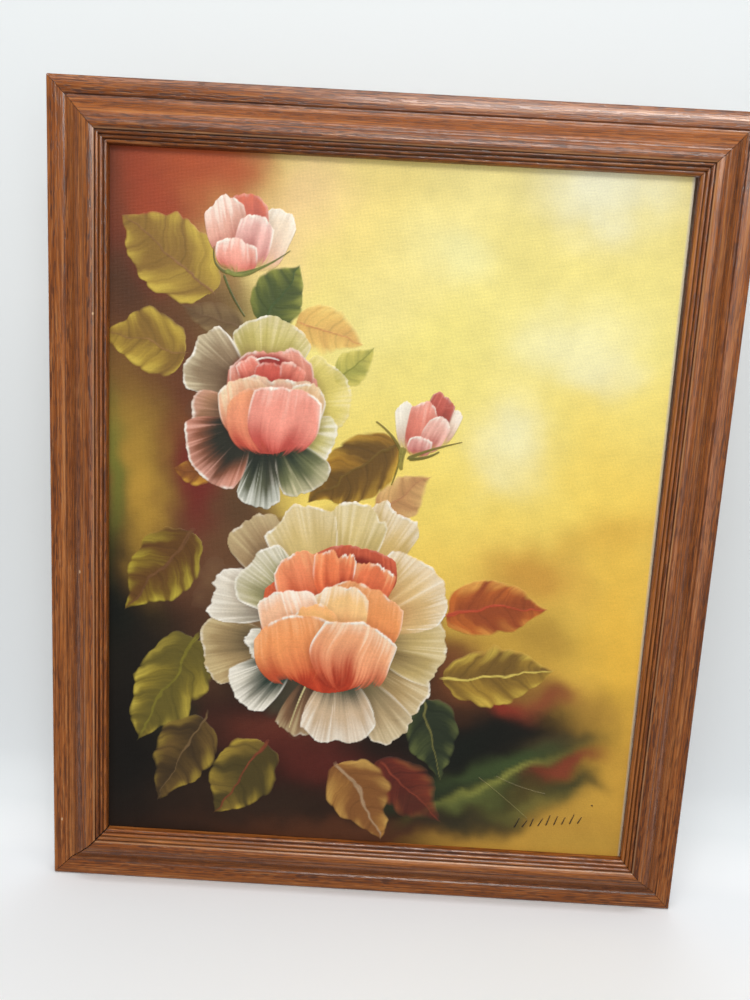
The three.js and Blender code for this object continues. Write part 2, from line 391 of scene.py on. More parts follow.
def cup(paint, middle, wide, high, tilt, deep, body, rim, seed=0, light=0.6, bead=0.8, ruffle=0.05,
        edge=0.9, strength=1.0, deep_to=0.75, shade=0.22, flat=0.42, fade=0.3):
    """A rounded shell, tilt in degrees to the left; flat is how far its rim falls at the sides."""
    spots = paint.near(middle, max(wide, high) * 0.75 + 8)
    cos, sin = math.cos(math.radians(tilt)), math.sin(math.radians(tilt))
    off_a, off_d = paint.across[spots] - middle[0], paint.down[spots] - middle[1]
    side = (off_a * cos - off_d * sin) / (wide / 2)
    rise = -(off_a * sin + off_d * cos) / (high / 2)
    rise = rise + (noise(side * 1.7 + 3 * seed, 2.9 * seed) - 0.5) * 0.12
    side = side + 0.16 * (noise(rise * 1.3 + 5 * seed, 1.9 * seed) - 0.5)
    below = np.clip(-rise, 0, 1)
    waist = (1 - below ** 2.1) ** 0.52 * (1 - 0.14 * np.clip(rise, 0, 1) ** 2)
    swing = np.clip(side / np.maximum(waist, 0.12), -1.4, 1.4)
    top = 0.96 - flat * np.minimum(np.abs(side), 1.1) ** 2.4 + ruffled(side, seed, ruffle * 2)
    share = np.clip((rise + 1) / (top + 1), 0, 1.3)
    rim_gap = (top - rise) * high / 2
    side_gap = (waist - np.abs(side)) * wide / 2
    body = mixed(body, rim, SOFTENED)
    deep = mixed(deep, body, SOFTENED)
    pulled(paint, spots, swing, share, rim_gap, side_gap, (deep, body, rim), seed,
           wide / 2 / HAIR, light, bead, edge, strength, (0.1, deep_to), shade, fade)


# %% A wash, laid under a flower before its petals
def wash(paint, middle, wide, high, colour, strength, seed=0):
    """A thin oval of one colour with a lost edge."""
    spots = paint.near(middle, max(wide, high))
    off_a, off_d = paint.across[spots] - middle[0], paint.down[spots] - middle[1]
    ragged = 1 + 0.3 * drift(off_a / 26, off_d / 26, seed)
    away = np.hypot(off_a / (wide / 2), off_d / (high / 2)) * ragged
    cover = smooth((1.2 - away) / 0.5) * strength
    paint.lay(spots, np.broadcast_to(colour, (len(spots), 3)), cover, 0.04)


# %% [markdown]
# ## One leaf
# The painter made each leaf from short curved strokes that start at the rib and sweep out towards
# the tip, so its edge is scalloped. The rib goes on last, in one pull that becomes the stalk.


# %% The leaf
def leaf(paint, foot, tip, width, dark, body, light, rib, seed=0, strokes=4, rib_width=1.3,
         stalk=0.0, strength=1.0, bend=0.0, edge=1.2, pale_side=0.4):
    """pale_side says which half takes the light: above nought the left one, seen from the foot."""
    foot, tip = np.array(foot, float), np.array(tip, float)
    along_axis = tip - foot
    length = np.hypot(*along_axis)
    unit = along_axis / length
    spots = paint.near((foot + tip) / 2, length * 0.75 + width * 0.5 + 8)
    off_a, off_d = paint.across[spots] - foot[0], paint.down[spots] - foot[1]
    run = (off_a * unit[0] + off_d * unit[1]) / length
    side = (off_a * unit[1] - off_d * unit[0]) / (width / 2)
    wander_a, wander_d = paint.across[spots] / 17, paint.down[spots] / 17
    run = run + 0.07 * drift(wander_a, wander_d, seed)
    side = side - bend * 4 * run * (1 - run) + 0.22 * drift(wander_d, wander_a, seed + 3)
    inner = np.clip(run, 0.0001, 0.9999)
    half = np.sin(np.pi * inner ** 0.76) ** (0.58 + 0.5 * inner)
    sweep = run - 0.26 * np.abs(side) ** 1.5
    beat = sweep * strokes + np.where(side > 0, 0.42, 0.0) + 0.2 * seed
    beat = beat + 0.3 * (noise(run * 3 + seed, np.sign(side) * 3) - 0.5)
    lobe = np.abs(np.sin(np.pi * beat))
    half = half * (0.93 + 0.08 * lobe ** 0.7 + 0.05 * (noise(run * 7 + seed, np.sign(side)) - 0.5))
    gap = (half - np.abs(side)) * width / 2
    lost = 1 + 2.2 * noise(run * 3 + 4 * seed, np.sign(side) * 2)
    cover = smooth(gap / (edge * lost)) * ((run > 0) & (run < 1)) * strength
    outward = np.clip(np.abs(side) / np.maximum(half, 0.05), 0, 1)
    hair = noise(sweep * length / 1.5 + 40 * seed, np.abs(side) * 2.2 + seed + (side > 0) * 9)
    touch = noise(beat + 3 * seed, (side > 0) * 5.0 + seed)
    tone = 0.10 + 0.75 * outward * (0.35 + 0.65 * lobe) + 0.9 * (touch - 0.5) + 0.2 * (hair - 0.5)
    colour = mixed(dark, body, smooth(tone))
    taken = np.where(side * (1 if pale_side > 0 else -1) > 0, 1.0, 1 - abs(pale_side))
    bright = smooth((outward * (0.45 + 0.55 * lobe) - 0.42) / 0.45) * (0.25 + 0.9 * touch) * taken
    colour = mixed(colour, light, np.clip(bright * (0.75 + 0.5 * (hair - 0.5)), 0, 1))
    from_crease = np.sin(np.pi * beat) * length / strokes / np.pi
    crease = np.exp(-(from_crease / 0.8) ** 2) * (1 - outward * 0.6)
    colour = colour * (1 - 0.20 * crease + 0.10 * (hair - 0.5))[:, None]
    paint.lay(spots, np.clip(colour, 0, 1), cover, 0.05 + 0.08 * hair + 0.07 * lobe)
    rib_gap = rib_width * (1.15 - 0.8 * np.clip(run, 0, 1)) / 2 - np.abs(side) * width / 2
    on_rib = smooth(rib_gap / 0.7 + 0.5) * smooth((run + stalk) * 12) * smooth((1.02 - run) * 8)
    along = noise(run * length / 7 + seed, side * width / 1.1)
    paint.lay(spots, np.clip(rib * (0.8 + 0.4 * along)[:, None], 0, 1), on_rib * strength,
              0.12 + 0.08 * along)


# %% [markdown]
# ## Stems, sepals and single touches
# A stem is one pull of a thin brush: a curve through a start, a bend and an end, which tapers.


# %% The pull of a thin brush
STEPS = 90  # places along the pull


def pull(paint, start, bend, end, width, colour, seed=0, taper=0.5, edge=0.6, strength=1.0,
         raised=0.16):
    """Through the start and end, drawn towards the bend; taper is the width lost at the end."""
    start, bend, end = (np.array(p, float) for p in (start, bend, end))
    t = np.linspace(0, 1, STEPS)[:, None]
    path = start * (1 - t) ** 2 + 2 * bend * t * (1 - t) + end * t ** 2
    middle = path.mean(axis=0)
    spots = paint.near(middle, np.hypot(*(path - middle).T).max() + width + 2)
    places = np.stack([paint.across[spots], paint.down[spots]], axis=1)
    apart = np.hypot(*(places[:, None, :] - path[None, :, :]).transpose(2, 0, 1))
    nearest = apart.argmin(axis=1)
    apart = apart[np.arange(len(spots)), nearest]
    run = nearest / (STEPS - 1)
    half = np.maximum(width / 2 * (1 - taper * run) * smooth(run * 14 + 0.25), 0.25)
    cover = smooth((half - apart) / edge + 0.5) * strength
    hair = noise(apart * 2.2 + seed, run * 5 + seed)
    colour = np.clip(colour * (0.75 + 0.5 * hair)[:, None], 0, 1)
    paint.lay(spots, colour, cover, raised * (0.5 + hair))


# %% [markdown]
# ## The composition
# Leaves first, then the two open roses, then the buds. Each group is a table, with a row for each
# touch of the brush in the order it was laid, so that any mesh can ask for the same picture. A row
# names the kind of touch and gives its values in the order that its function takes them. Three
# numbers in brackets are a colour. What is unusual in a touch comes last, by name.


# %% Lay the touches of a table
def lay_touches(paint, touches):
    """Each row in turn, over the ground and what was laid before."""
    for kind, *values in touches:
        unusual = values.pop() if isinstance(values[-1], dict) else {}
        values = [tint(*v) if isinstance(v, tuple) and len(v) == 3 else v for v in values]
        kind(paint, *values, **unusual)


# %% Leaves that lie behind the roses
# foot, tip, width, dark, body, light and rib, then seed, strokes, width of rib, stalk
UPPER_LEAVES = [
    (leaf, (72, 93), (5, 44), 56, (138, 106, 46), (184, 154, 62), (214, 188, 78), (136, 96, 60), 1, 5, 1.3,
     0.05, {"strength": 0.96, "bend": -0.1}),
    (leaf, (54, 134), (-6, 122), 46, (134, 102, 44), (184, 154, 58), (212, 186, 78), (140, 104, 56), 2, 4,
     1.3, 0.06, {"strength": 0.95}),
    (leaf, (96, 116), (48, 101), 26, (104, 80, 52), (134, 110, 72), (160, 136, 92), (110, 84, 56), 3,
     {"strength": 0.85, "edge": 2.5}),
    (leaf, (106, 112), (131, 70), 38, SAP, (134, 138, 54), (172, 172, 84), (66, 84, 40), 4, 4, 1.8, 0.25,
     {"pale_side": -0.5}),
    (leaf, (129, 108), (178, 122), 40, (214, 160, 84), (230, 186, 98), (238, 204, 116), (206, 140, 84), 5,
     5, {"strength": 0.85, "edge": 2.2}),
    (leaf, (160, 149), (187, 124), 28, (146, 146, 60), (196, 184, 84), (222, 208, 110), (136, 138, 56), 6,
     {"strength": 0.9}),
    (leaf, (74, 220), (45, 216), 22, (132, 78, 34), (190, 132, 46), (222, 176, 66), (120, 70, 32), 7, 3,
     {"strength": 0.95}),
    (leaf, (196, 242), (231, 210), 34, (184, 132, 86), (214, 168, 108), (224, 186, 126), (180, 126, 82), 8,
     {"strength": 0.95, "edge": 1.8}),
    (leaf, (206, 190), (142, 236), 46, (104, 74, 24), (166, 120, 36), (210, 170, 62), (108, 82, 28), 9, 5,
     1.6, 0.05),
]

LOWER_LEAVES = [
    (leaf, (60, 262), (13, 325), 48, (100, 66, 28), (164, 142, 42), (214, 196, 74), (110, 74, 42), 10, 5,
     2.6, 0.05),
    (leaf, (68, 340), (18, 427), 56, (102, 90, 36), (162, 140, 48), (210, 188, 78), (122, 112, 40), 11, 5,
     2.6, 0.08, {"pale_side": -0.3}),
    (leaf, (74, 406), (37, 474), 46, (66, 50, 28), (112, 86, 42), (176, 150, 56), (112, 88, 56), 12, 4,
     1.3, 0.12, {"strength": 0.92}),
    (leaf, (121, 422), (79, 484), 48, (78, 66, 30), (134, 110, 46), (198, 170, 62), (124, 62, 38), 13, 4,
     1.8, 0.08, {"strength": 0.95}),
    (leaf, (206, 430), (258, 480), 44, (92, 36, 26), (134, 54, 34), (168, 104, 56), (140, 62, 42), 14,
     {"strength": 0.8, "edge": 3.0}),
    (leaf, (174, 432), (210, 496), 48, (132, 84, 42), (178, 128, 62), (214, 174, 92), (170, 138, 104), 15,
     4, 2.8, 0.04, {"bend": 0.12}),
    (leaf, (238, 380), (254, 446), 42, (40, 48, 30), (68, 76, 42), (110, 116, 62), (112, 108, 58), 16, 4,
     1.6, 0.03),
    (leaf, (248, 312), (324, 304), 46, (150, 70, 30), (196, 104, 40), (226, 170, 80), (186, 74, 44), 18, 4,
     2.0, 0.06, {"bend": 0.1}),
    (leaf, (249, 363), (333, 350), 48, (118, 88, 34), (172, 136, 50), (226, 198, 84), (214, 190, 92), 19,
     5, 2.0, 0.05, {"bend": -0.06}),
]

# %% The small rose
# a petal: base, aim, reach, spread, deep, body and rim, then seed, light, bead, ruffle
# a cup: middle, wide, high, tilt, deep, body and rim, then seed, light, bead, ruffle
# a wash: middle, wide, high, colour, strength, seed
# first the open petals, then the back lips, the scarlet well with its curl, and what closes it
SMALL_ROSE = [
    (wash, (108, 176), 86, 84, (96, 84, 58), 0.9, 1),
    (wash, (112, 196), 60, 44, (40, 50, 40), 0.95, 2),
    (petal, (108, 160), 82, 53, 86, (160, 138, 74), (196, 182, 104), CREAM, 2, 0.5, 0.9,
     {"strength": 0.92}),
    (petal, (104, 158), 152, 55, 70, (112, 86, 62), (152, 130, 100), CREAM, 1, 0.6, 0.9, 0.06),
    (petal, (124, 166), 18, 47, 96, (196, 176, 84), (222, 204, 108), CREAM, 3, 0.4, 0.6,
     {"edge": 2.0, "strength": 0.8}),
    (petal, (104, 174), 184, 46, 62, (112, 84, 62), (176, 128, 94), PINK, 4, 0.5),
    (petal, (120, 184), -12, 43, 68, (90, 98, 56), (200, 188, 112), TITANIUM, 5, 0.6, 0.9),
    (petal, (116, 186), -52, 53, 62, (42, 54, 38), (128, 130, 86), CREAM, 6, {"deep_to": 1.0}),
    (petal, (112, 188), -96, 54, 46, (36, 44, 34), (104, 106, 80), (226, 226, 214), 7, 0.9, 0.6,
     {"deep_to": 1.05}),
    (petal, (104, 180), -142, 56, 84, (44, 44, 34), (176, 104, 74), PINK, 8, 0.6, 1.0, 0.06,
     {"deep_from": 0.45, "deep_to": 1.0}),
    (cup, (114, 168), 66, 70, 0, (188, 56, 44), (222, 122, 100), PINK, 9, 0.4, 0.2,
     {"shade": 0.25, "fade": 0.0}),
    (cup, (112, 148), 60, 36, 4, (190, 84, 66), (220, 126, 100), PINK, 30, 0.6, 0.5, 0.08),
    (wash, (113, 142), 42, 22, (156, 36, 32), 0.95, 4),
    (cup, (99, 144), 18, 20, 26, (180, 56, 44), (216, 100, 78), PINK, 31, 0.6, 0.5),
    (cup, (128, 146), 20, 20, -24, (186, 60, 48), (222, 110, 86), PINK, 32, 0.6, 0.5),
    (cup, (112, 146), 20, 17, 0, (164, 40, 34), (200, 76, 60), ROSE, 33, 0.5, 0.35),
    (pull, (103, 137), (110, 133), (119, 136), 1.4, TITANIUM, 3, {"strength": 0.8}),
    (cup, (117, 164), 60, 36, 2, (222, 116, 96), (242, 170, 146), CREAM, 10, 0.7, 0.8, 0.07),
    (cup, (97, 172), 38, 48, 16, (214, 98, 72), (242, 168, 128), CREAM, 12, 0.7),
    (cup, (138, 172), 28, 44, -18, (214, 126, 82), (236, 176, 118), CREAM, 11, 0.7),
    (cup, (107, 179), 46, 48, 12, (190, 54, 42), (240, 146, 112), PEACH, 14, 0.6, 0.5, 0.04,
     {"deep_to": 0.72, "fade": 0.2}),
    (cup, (123, 178), 52, 52, -8, (184, 44, 36), (240, 144, 124), PINK, 13, 0.7, 1.1, 0.03,
     {"deep_to": 0.62, "shade": 0.3, "flat": 0.3, "fade": 0.15}),
]
print(f"{len(SMALL_ROSE)} touches in the small rose")

# %% The large rose, outer petals
LARGE_ROSE_OUTSIDE = [
    (wash, (160, 328), 150, 150, (136, 104, 68), 0.95, 5),
    (wash, (146, 372), 96, 54, (62, 58, 44), 0.95, 6),
    (petal, (150, 322), 127, 88, 38, (104, 78, 52), (170, 140, 100), IVORY, 21, 0.55, 0.5),
    (petal, (172, 322), 66, 92, 36, (190, 150, 84), (212, 180, 112), TITANIUM, 23, 0.6, 1.0),
    (petal, (168, 322), 80, 88, 38, (176, 144, 78), (210, 186, 120), CREAM, 22, 0.55, 0.9),
    (petal, (158, 322), 106, 84, 50, (166, 132, 74), (208, 182, 118), CREAM, 24, 0.6, 0.9,
     {"deep_to": 0.75}),
    (petal, (180, 348), -34, 68, 54, (118, 98, 62), (190, 160, 108), CREAM, 26, 0.5),
    (petal, (180, 338), -2, 74, 62, (128, 104, 62), (200, 174, 112), CREAM, 27, 0.55, 1.0, 0.06),
    (petal, (178, 330), 36, 77, 70, (186, 132, 74), (222, 188, 128), TITANIUM, 28, 0.65, 1.0),
    (petal, (140, 342), 188, 73, 58, (98, 82, 56), (182, 154, 106), IVORY, 29, 0.5, 0.5),
    (petal, (142, 318), 168, 66, 54, (120, 108, 92), (206, 194, 172), TITANIUM, 30, 0.8, 0.9, 0.08),
    (petal, (152, 322), 143, 66, 62, (62, 74, 58), (170, 160, 112), TITANIUM, 31, 0.6, 1.0,
     {"deep_from": 0.45, "deep_to": 0.95, "shade": 0.3}),
    (petal, (142, 338), 192, 42, 50, (90, 92, 78), (204, 198, 180), TITANIUM, 32, 0.8, 0.8, 0.1),
    (petal, (180, 354), -56, 70, 40, (104, 92, 62), (186, 160, 118), CREAM, 33, 0.6, 0.7, {"shade": 0.25}),
    (petal, (156, 352), -106, 66, 34, (70, 48, 34), (138, 100, 70), IVORY, 34, 0.55, 0.6,
     {"strength": 0.85}),
    (petal, (146, 346), -141, 66, 50, (46, 60, 50), (208, 200, 180), TITANIUM, 35, 0.9, 0.9,
     {"deep_from": 0.5, "deep_to": 1.0, "shade": 0.3}),
    (petal, (172, 348), -88, 72, 64, (76, 76, 58), (206, 178, 144), TITANIUM, 36, 0.7, 0.9, 0.06,
     {"deep_from": 0.4, "deep_to": 0.72, "shade": 0.3}),
    (pull, (149, 372), (142, 388), (137, 408), 1.4, (208, 194, 140), 6),
]

# %% The large rose, its heart
LARGE_ROSE_HEART = [
    (cup, (164, 330), 96, 96, 0, (176, 48, 24), (214, 88, 46), CORAL, 39, 0.3, 0.0, 0.04,
     {"deep_to": 0.9, "shade": 0.3, "fade": 0.0}),
    (cup, (178, 288), 64, 50, -4, (150, 40, 22), (176, 58, 34), CORAL, 40, 0.35, 0.1),
    (wash, (180, 284), 46, 26, (132, 30, 18), 0.95, 7),
    (cup, (142, 294), 42, 42, 14, (220, 88, 50), (234, 126, 84), PEACH, 42, 0.6, 0.9, 0.09),
    (cup, (192, 292), 34, 34, -20, (200, 64, 32), (228, 100, 56), PEACH, 44, 0.75, 1.0, 0.12),
    (cup, (172, 286), 16, 30, -8, (196, 58, 30), (230, 104, 60), PEACH, 50, 0.8, 0.9, 0.08),
    (cup, (160, 288), 20, 40, 4, (206, 70, 36), (238, 116, 66), PEACH, 43, 0.6, 0.6, 0.08),
    (cup, (186, 322), 60, 60, -14, (212, 92, 44), (240, 150, 82), PEACH, 46, 0.7, 1.0, 0.06,
     {"flat": 0.36}),
    (cup, (170, 320), 44, 50, -4, (226, 108, 50), (250, 190, 96), TITANIUM, 51, 0.6, 0.8, 0.07),
    (cup, (134, 322), 46, 48, 16, (226, 118, 64), (244, 176, 124), TITANIUM, 45, 0.8, 1.0, 0.06),
    (cup, (154, 334), 36, 50, 14, (228, 112, 52), (250, 186, 108), PEACH, 47, 0.6, 0.7),
    (cup, (139, 348), 62, 58, 16, (188, 52, 26), (240, 148, 84), PEACH, 48, 0.7, 0.9, 0.03,
     {"deep_to": 0.8, "fade": 0.2}),
    (cup, (182, 350), 62, 56, -14, (196, 64, 34), (242, 154, 98), (252, 224, 190), 49, 0.9, 1.1, 0.04,
     {"shade": 0.35, "flat": 0.3, "fade": 0.35}),
]
print(f"{len(LARGE_ROSE_OUTSIDE + LARGE_ROSE_HEART)} touches in the large rose")

# %% The two buds
# a pull: start, bend, end, width and colour, then seed, taper
UPPER_BUD = [
    (pull, (79, 80), (84, 94), (94, 107), 1.8, (84, 92, 44), 7, 0.4),
    (cup, (110, 56), 28, 46, -24, (226, 160, 132), (240, 216, 186), TITANIUM, 51, 0.8, 0.8, 0.06),
    (cup, (94, 44), 30, 36, 0, (140, 44, 36), (206, 104, 88), CORAL, 53, 0.5, 0.2),
    (cup, (82, 52), 30, 46, 12, (196, 96, 80), (222, 150, 126), TITANIUM, 52, 0.65, 0.9, 0.06),
    (cup, (98, 58), 26, 38, -12, (196, 100, 94), (224, 152, 142), TITANIUM, 55, 0.65, 0.9),
    (cup, (88, 68), 30, 24, -4, (204, 88, 72), (228, 134, 112), TITANIUM, 56, 0.55, 0.9),
    (pull, (82, 79), (70, 76), (72, 62), 2.4, (104, 100, 52), 8, 0.7),
    (pull, (84, 80), (104, 78), (124, 62), 3.2, (106, 112, 52), 9, 0.8),
    (pull, (80, 77), (92, 84), (104, 74), 3.6, (126, 128, 62), 10, 0.7),
]

RIGHT_BUD = [
    (pull, (208, 200), (206, 210), (203, 219), 1.6, (128, 116, 48), 11, 0.4),
    (cup, (211, 178), 16, 38, 6, (226, 186, 160), (240, 230, 210), TITANIUM, 61, 0.8, 0.6),
    (cup, (238, 176), 18, 32, -24, (214, 150, 128), (238, 206, 180), TITANIUM, 62, 0.6, 0.5),
    (cup, (233, 168), 20, 34, -18, (128, 36, 28), (172, 64, 50), ROSE, 63, 0.4, 0.2),
    (cup, (221, 178), 22, 42, -12, (184, 68, 54), (218, 112, 90), PINK, 64, 0.6, 0.6),
    (cup, (231, 182), 18, 28, -26, (190, 76, 66), (230, 158, 140), TITANIUM, 65, 0.65, 0.7),
    (cup, (221, 191), 18, 16, -10, (170, 66, 60), (208, 114, 104), TITANIUM, 66, 0.5, 0.7),
    (pull, (209, 197), (204, 184), (190, 175), 2.6, (124, 108, 44), 12),
    (pull, (213, 200), (228, 192), (251, 186), 2.8, (116, 104, 42), 13, 0.7),
    (pull, (210, 192), (208, 200), (209, 207), 5.4, (140, 128, 54), 14),
    (pull, (214, 200), (226, 200), (235, 194), 2.6, (112, 104, 40), 15),
]
print(f"{len(UPPER_BUD + RIGHT_BUD)} touches in the buds")

# %% Marks low on the right
# A row of slanting touches stands where a painter would sign. It spells nothing. Thin pale
# scratches cross the paint beside it.
MARKS = []
for number in range(9):
    x, y = 313 + 6.0 * number, 479 - 0.8 * number
    high = 4.0 + 5.0 * noise(number * 1.7, 3.1)
    lean = 1.5 + 2.0 * noise(number * 2.3, 7.7)
    MARKS.append((pull, (x, y), (x + lean / 2, y - high / 2), (x + lean, y - high), 1.1,
                  BLACK_BROWN, number, 0.4, {"raised": 0.06}))
MARKS += [
    (pull, (370, 457), (370.6, 457), (371, 457.4), 1.6, BLACK_BROWN, 10),
    (pull, (283, 440), (300, 452), (322, 471), 0.5, (150, 140, 84), 14, {"strength": 0.6}),
    (pull, (296, 438), (312, 446), (334, 450), 0.5, (146, 132, 84), 15, {"strength": 0.5}),
]
print(f"{len(MARKS)} small marks, {len(UPPER_LEAVES + LOWER_LEAVES)} leaves")

# %% [markdown]
# ## Meshes of paint
# Where a group was painted the paint stands on the cloth as a film a few tenths of a millimetre
# thick, with ridges where the brush was lifted. A fine grid is laid over the group, only the
# squares that carry its paint are kept, and the film is closed behind, inside the cloth. Its
# colours are an attribute on the corners, so the picture needs no image.


# %% A mesh from corners and faces
def mesh_from(name, corners, faces, colours=None):
    """A mesh whose faces all have as many corners, linked to the scene."""
    mesh = bpy.data.meshes.new(name)
    mesh.vertices.add(len(corners))
    mesh.vertices.foreach_set("co", np.asarray(corners, np.float32).ravel())
    faces = np.asarray(faces, np.int32)
    mesh.loops.add(faces.size)
    mesh.loops.foreach_set("vertex_index", faces.ravel())
    mesh.polygons.add(len(faces))
    mesh.polygons.foreach_set("loop_start", np.arange(len(faces), dtype=np.int32) * faces.shape[1])
    mesh.update(calc_edges=True)
    if colours is not None:
        layer = mesh.color_attributes.new("paint", "FLOAT_COLOR", "POINT")
        full = np.ones((len(corners), 4), np.float32)
        full[:, :3] = colours
        layer.data.foreach_set("color", full.ravel())
    mesh.validate()
    piece = bpy.data.objects.new(name, mesh)
    bpy.context.scene.collection.objects.link(piece)
    return piece


# %% A film of paint from a group
FILM_BACK = 0.25 * MM  # how far the back of a film lies inside the cloth
SUNKEN_EDGE = 0.12 * MM  # its edge dips below the cloth's face, so that no rim shows
LAYER_STEP = 0.04 * MM  # each group lies a little above the one before
NO_PAINT = 0.02  # cover less than this is left out


def paint_film(name, order, group, box, step):
    """order counts the groups beneath; box is left, top, right and bottom, in millimetres."""
    left, top, right, bottom = box
    across = np.arange(left, right, step)
    down = np.arange(top, bottom, step)
    grid_a, grid_d = np.meshgrid(across, down)
    paint = Paint(grid_a.ravel(), grid_d.ravel())
    for _, beneath, _, _ in PICTURE[:order]:
        lay_touches(paint, beneath)
    paint.fresh[:] = 0
    lay_touches(paint, group)
    wide, high = len(across), len(down)
    corner = np.arange(wide * high).reshape(high, wide)
    squares = np.stack([corner[:-1, :-1], corner[:-1, 1:], corner[1:, 1:], corner[1:, :-1]], axis=-1)
    squares = squares.reshape(-1, 4)
    kept = squares[paint.fresh[squares].max(axis=1) > NO_PAINT]
    used, compact = np.unique(kept, return_inverse=True)
    front = compact.reshape(-1, 4)[:, ::-1]
    x, z = in_metres(paint.across[used], paint.down[used])
    lift = paint.height[used] * MM * smooth(paint.fresh[used] / 0.6)
    y_front = cloth_front - lift - LAYER_STEP * (order + 1) * smooth(paint.fresh[used] / 0.25)
    y_front += SUNKEN_EDGE * (1 - smooth(paint.fresh[used] / 0.06))
    y_back = np.full(len(used), cloth_front + FILM_BACK)
    corners = np.concatenate([np.stack([x, y_front, z], 1), np.stack([x, y_back, z], 1)])
    back = front[:, ::-1] + len(used)
    edges = np.concatenate([front[:, [i, (i + 1) % 4]] for i in range(4)])
    key = np.sort(edges, axis=1)
    _, first, count = np.unique(key, axis=0, return_index=True, return_counts=True)
    rim = edges[first[count == 1]]
    wall = np.stack([rim[:, 1], rim[:, 0], rim[:, 0] + len(used), rim[:, 1] + len(used)], 1)
    colours = np.concatenate([paint.colour[used]] * 2)
    piece = mesh_from(name, corners, np.concatenate([front, back, wall]), colours)
    print(f"{name}: {2 * len(piece.data.polygons)} triangles")
    return piece


# %% Lay the films
FINE = 0.62  # mm between the corners of a grid
PICTURE = [  # name, touches, reach, how much coarser than FINE
    ("paint_upper_leaves", UPPER_LEAVES, (0, 36, 240, 252), 1.12),
    ("paint_lower_leaves", LOWER_LEAVES, (0, 250, 346, 498), 1.25),
    ("paint_small_rose", SMALL_ROSE, (48, 102, 184, 248), 1),
    ("paint_large_rose", LARGE_ROSE_OUTSIDE, (58, 226, 264, 428), 1.25),
    ("paint_large_rose_heart", LARGE_ROSE_HEART, (100, 252, 224, 384), 1),
    ("paint_upper_bud", UPPER_BUD, (52, 22, 132, 112), 0.8),
    ("paint_right_bud", RIGHT_BUD, (184, 146, 260, 224), 0.8),
    ("paint_marks", MARKS, (278, 434, 376, 488), 0.7),
]
films = [
    paint_film(name, order, group, reach, FINE * coarser)
    for order, (name, group, reach, coarser) in enumerate(PICTURE)
]
print(f"{len(films)} films of paint")

# %% [markdown]
# ## The canvas
# Cotton duck, primed white, pulled over the bars, folded at its corners and stapled behind. The
# loaded tray has its size and place, so the cloth is made again over the same box: a fine grid on
# the front to carry the ground's colours, sides that turn over the bars, and margins on the back.

# %% The cloth's size, and its place in the rabbet
TURN = math.radians(0.3)  # the canvas sits a little crooked in its rabbet
CLOTH_WIDE, CLOTH_HIGH = 400 * MM, 508 * MM
MARGIN = 22 * MM
THICK = 0.7 * MM
canvas_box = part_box("canvas")
canvas_middle = Vector((
    (canvas_box[0][0] + canvas_box[1][0]) / 2,
    0,
    (canvas_box[0][2] + canvas_box[1][2]) / 2,
))


def turned(points):
    """From the canvas's own upright axes to its place in the rabbet."""
    cos, sin = math.cos(TURN), math.sin(TURN)
    x = points[:, 0] * cos - points[:, 2] * sin + canvas_middle.x
    z = points[:, 0] * sin + points[:, 2] * cos + canvas_middle.z
    return np.stack([x, points[:, 1], z], axis=1)


# %% One skin of the cloth
def cloth_sheet(front, back, wide, high, margin, cells):
    """One skin of the folded cloth: a front grid, four sides and four margins."""
    half_w, half_h = wide / 2, high / 2
    columns = np.linspace(-half_w, half_w, cells[0] + 1)
    rows = np.linspace(half_h, -half_h, cells[1] + 1)
    grid_x, grid_z = np.meshgrid(columns, rows)
    points = [np.stack([grid_x.ravel(), np.full(grid_x.size, front), grid_z.ravel()], 1)]
    corner = np.arange(grid_x.size).reshape(grid_x.shape)
    squares = np.stack([corner[:-1, :-1], corner[1:, :-1], corner[1:, 1:], corner[:-1, 1:]], -1)
    faces = [squares.reshape(-1, 4)]
    ring = np.concatenate([corner[0, :-1], corner[:-1, -1], corner[-1, :0:-1], corner[:0:-1, 0]])
    outline = points[0][ring]
    total = grid_x.size
    previous = ring
    inset_x = np.sign(outline[:, 0]) * np.minimum(np.abs(outline[:, 0]), half_w - margin)
    inset_z = np.sign(outline[:, 2]) * np.minimum(np.abs(outline[:, 2]), half_h - margin)
    for depth, x, z in ((back, outline[:, 0], outline[:, 2]), (back, inset_x, inset_z)):
        points.append(np.stack([x, np.full(len(ring), depth), z], 1))
        current = np.arange(total, total + len(ring))
        total += len(ring)
        faces.append(np.stack([previous, np.roll(previous, -1), np.roll(current, -1), current], 1))
        previous = current
    return np.concatenate(points), np.concatenate(faces), previous


# %% Two skins, joined at the edge of the margins
CELLS = (160, 203)  # squares across and down the front
cloth_outer, cloth_faces, outer_edge = cloth_sheet(
    cloth_front, cloth_back, CLOTH_WIDE, CLOTH_HIGH, MARGIN, CELLS)
cloth_inner, _, inner_edge = cloth_sheet(
    cloth_front + THICK, cloth_back - THICK, CLOTH_WIDE - 2 * THICK, CLOTH_HIGH - 2 * THICK,
    MARGIN - THICK, CELLS)
count = len(cloth_outer)
rim_faces = np.stack([
    outer_edge, np.roll(outer_edge, -1), np.roll(inner_edge, -1) + count, inner_edge + count], 1)
cloth_points = turned(np.concatenate([cloth_outer, cloth_inner]))
all_faces = np.concatenate([cloth_faces, cloth_faces[:, ::-1] + count, rim_faces])

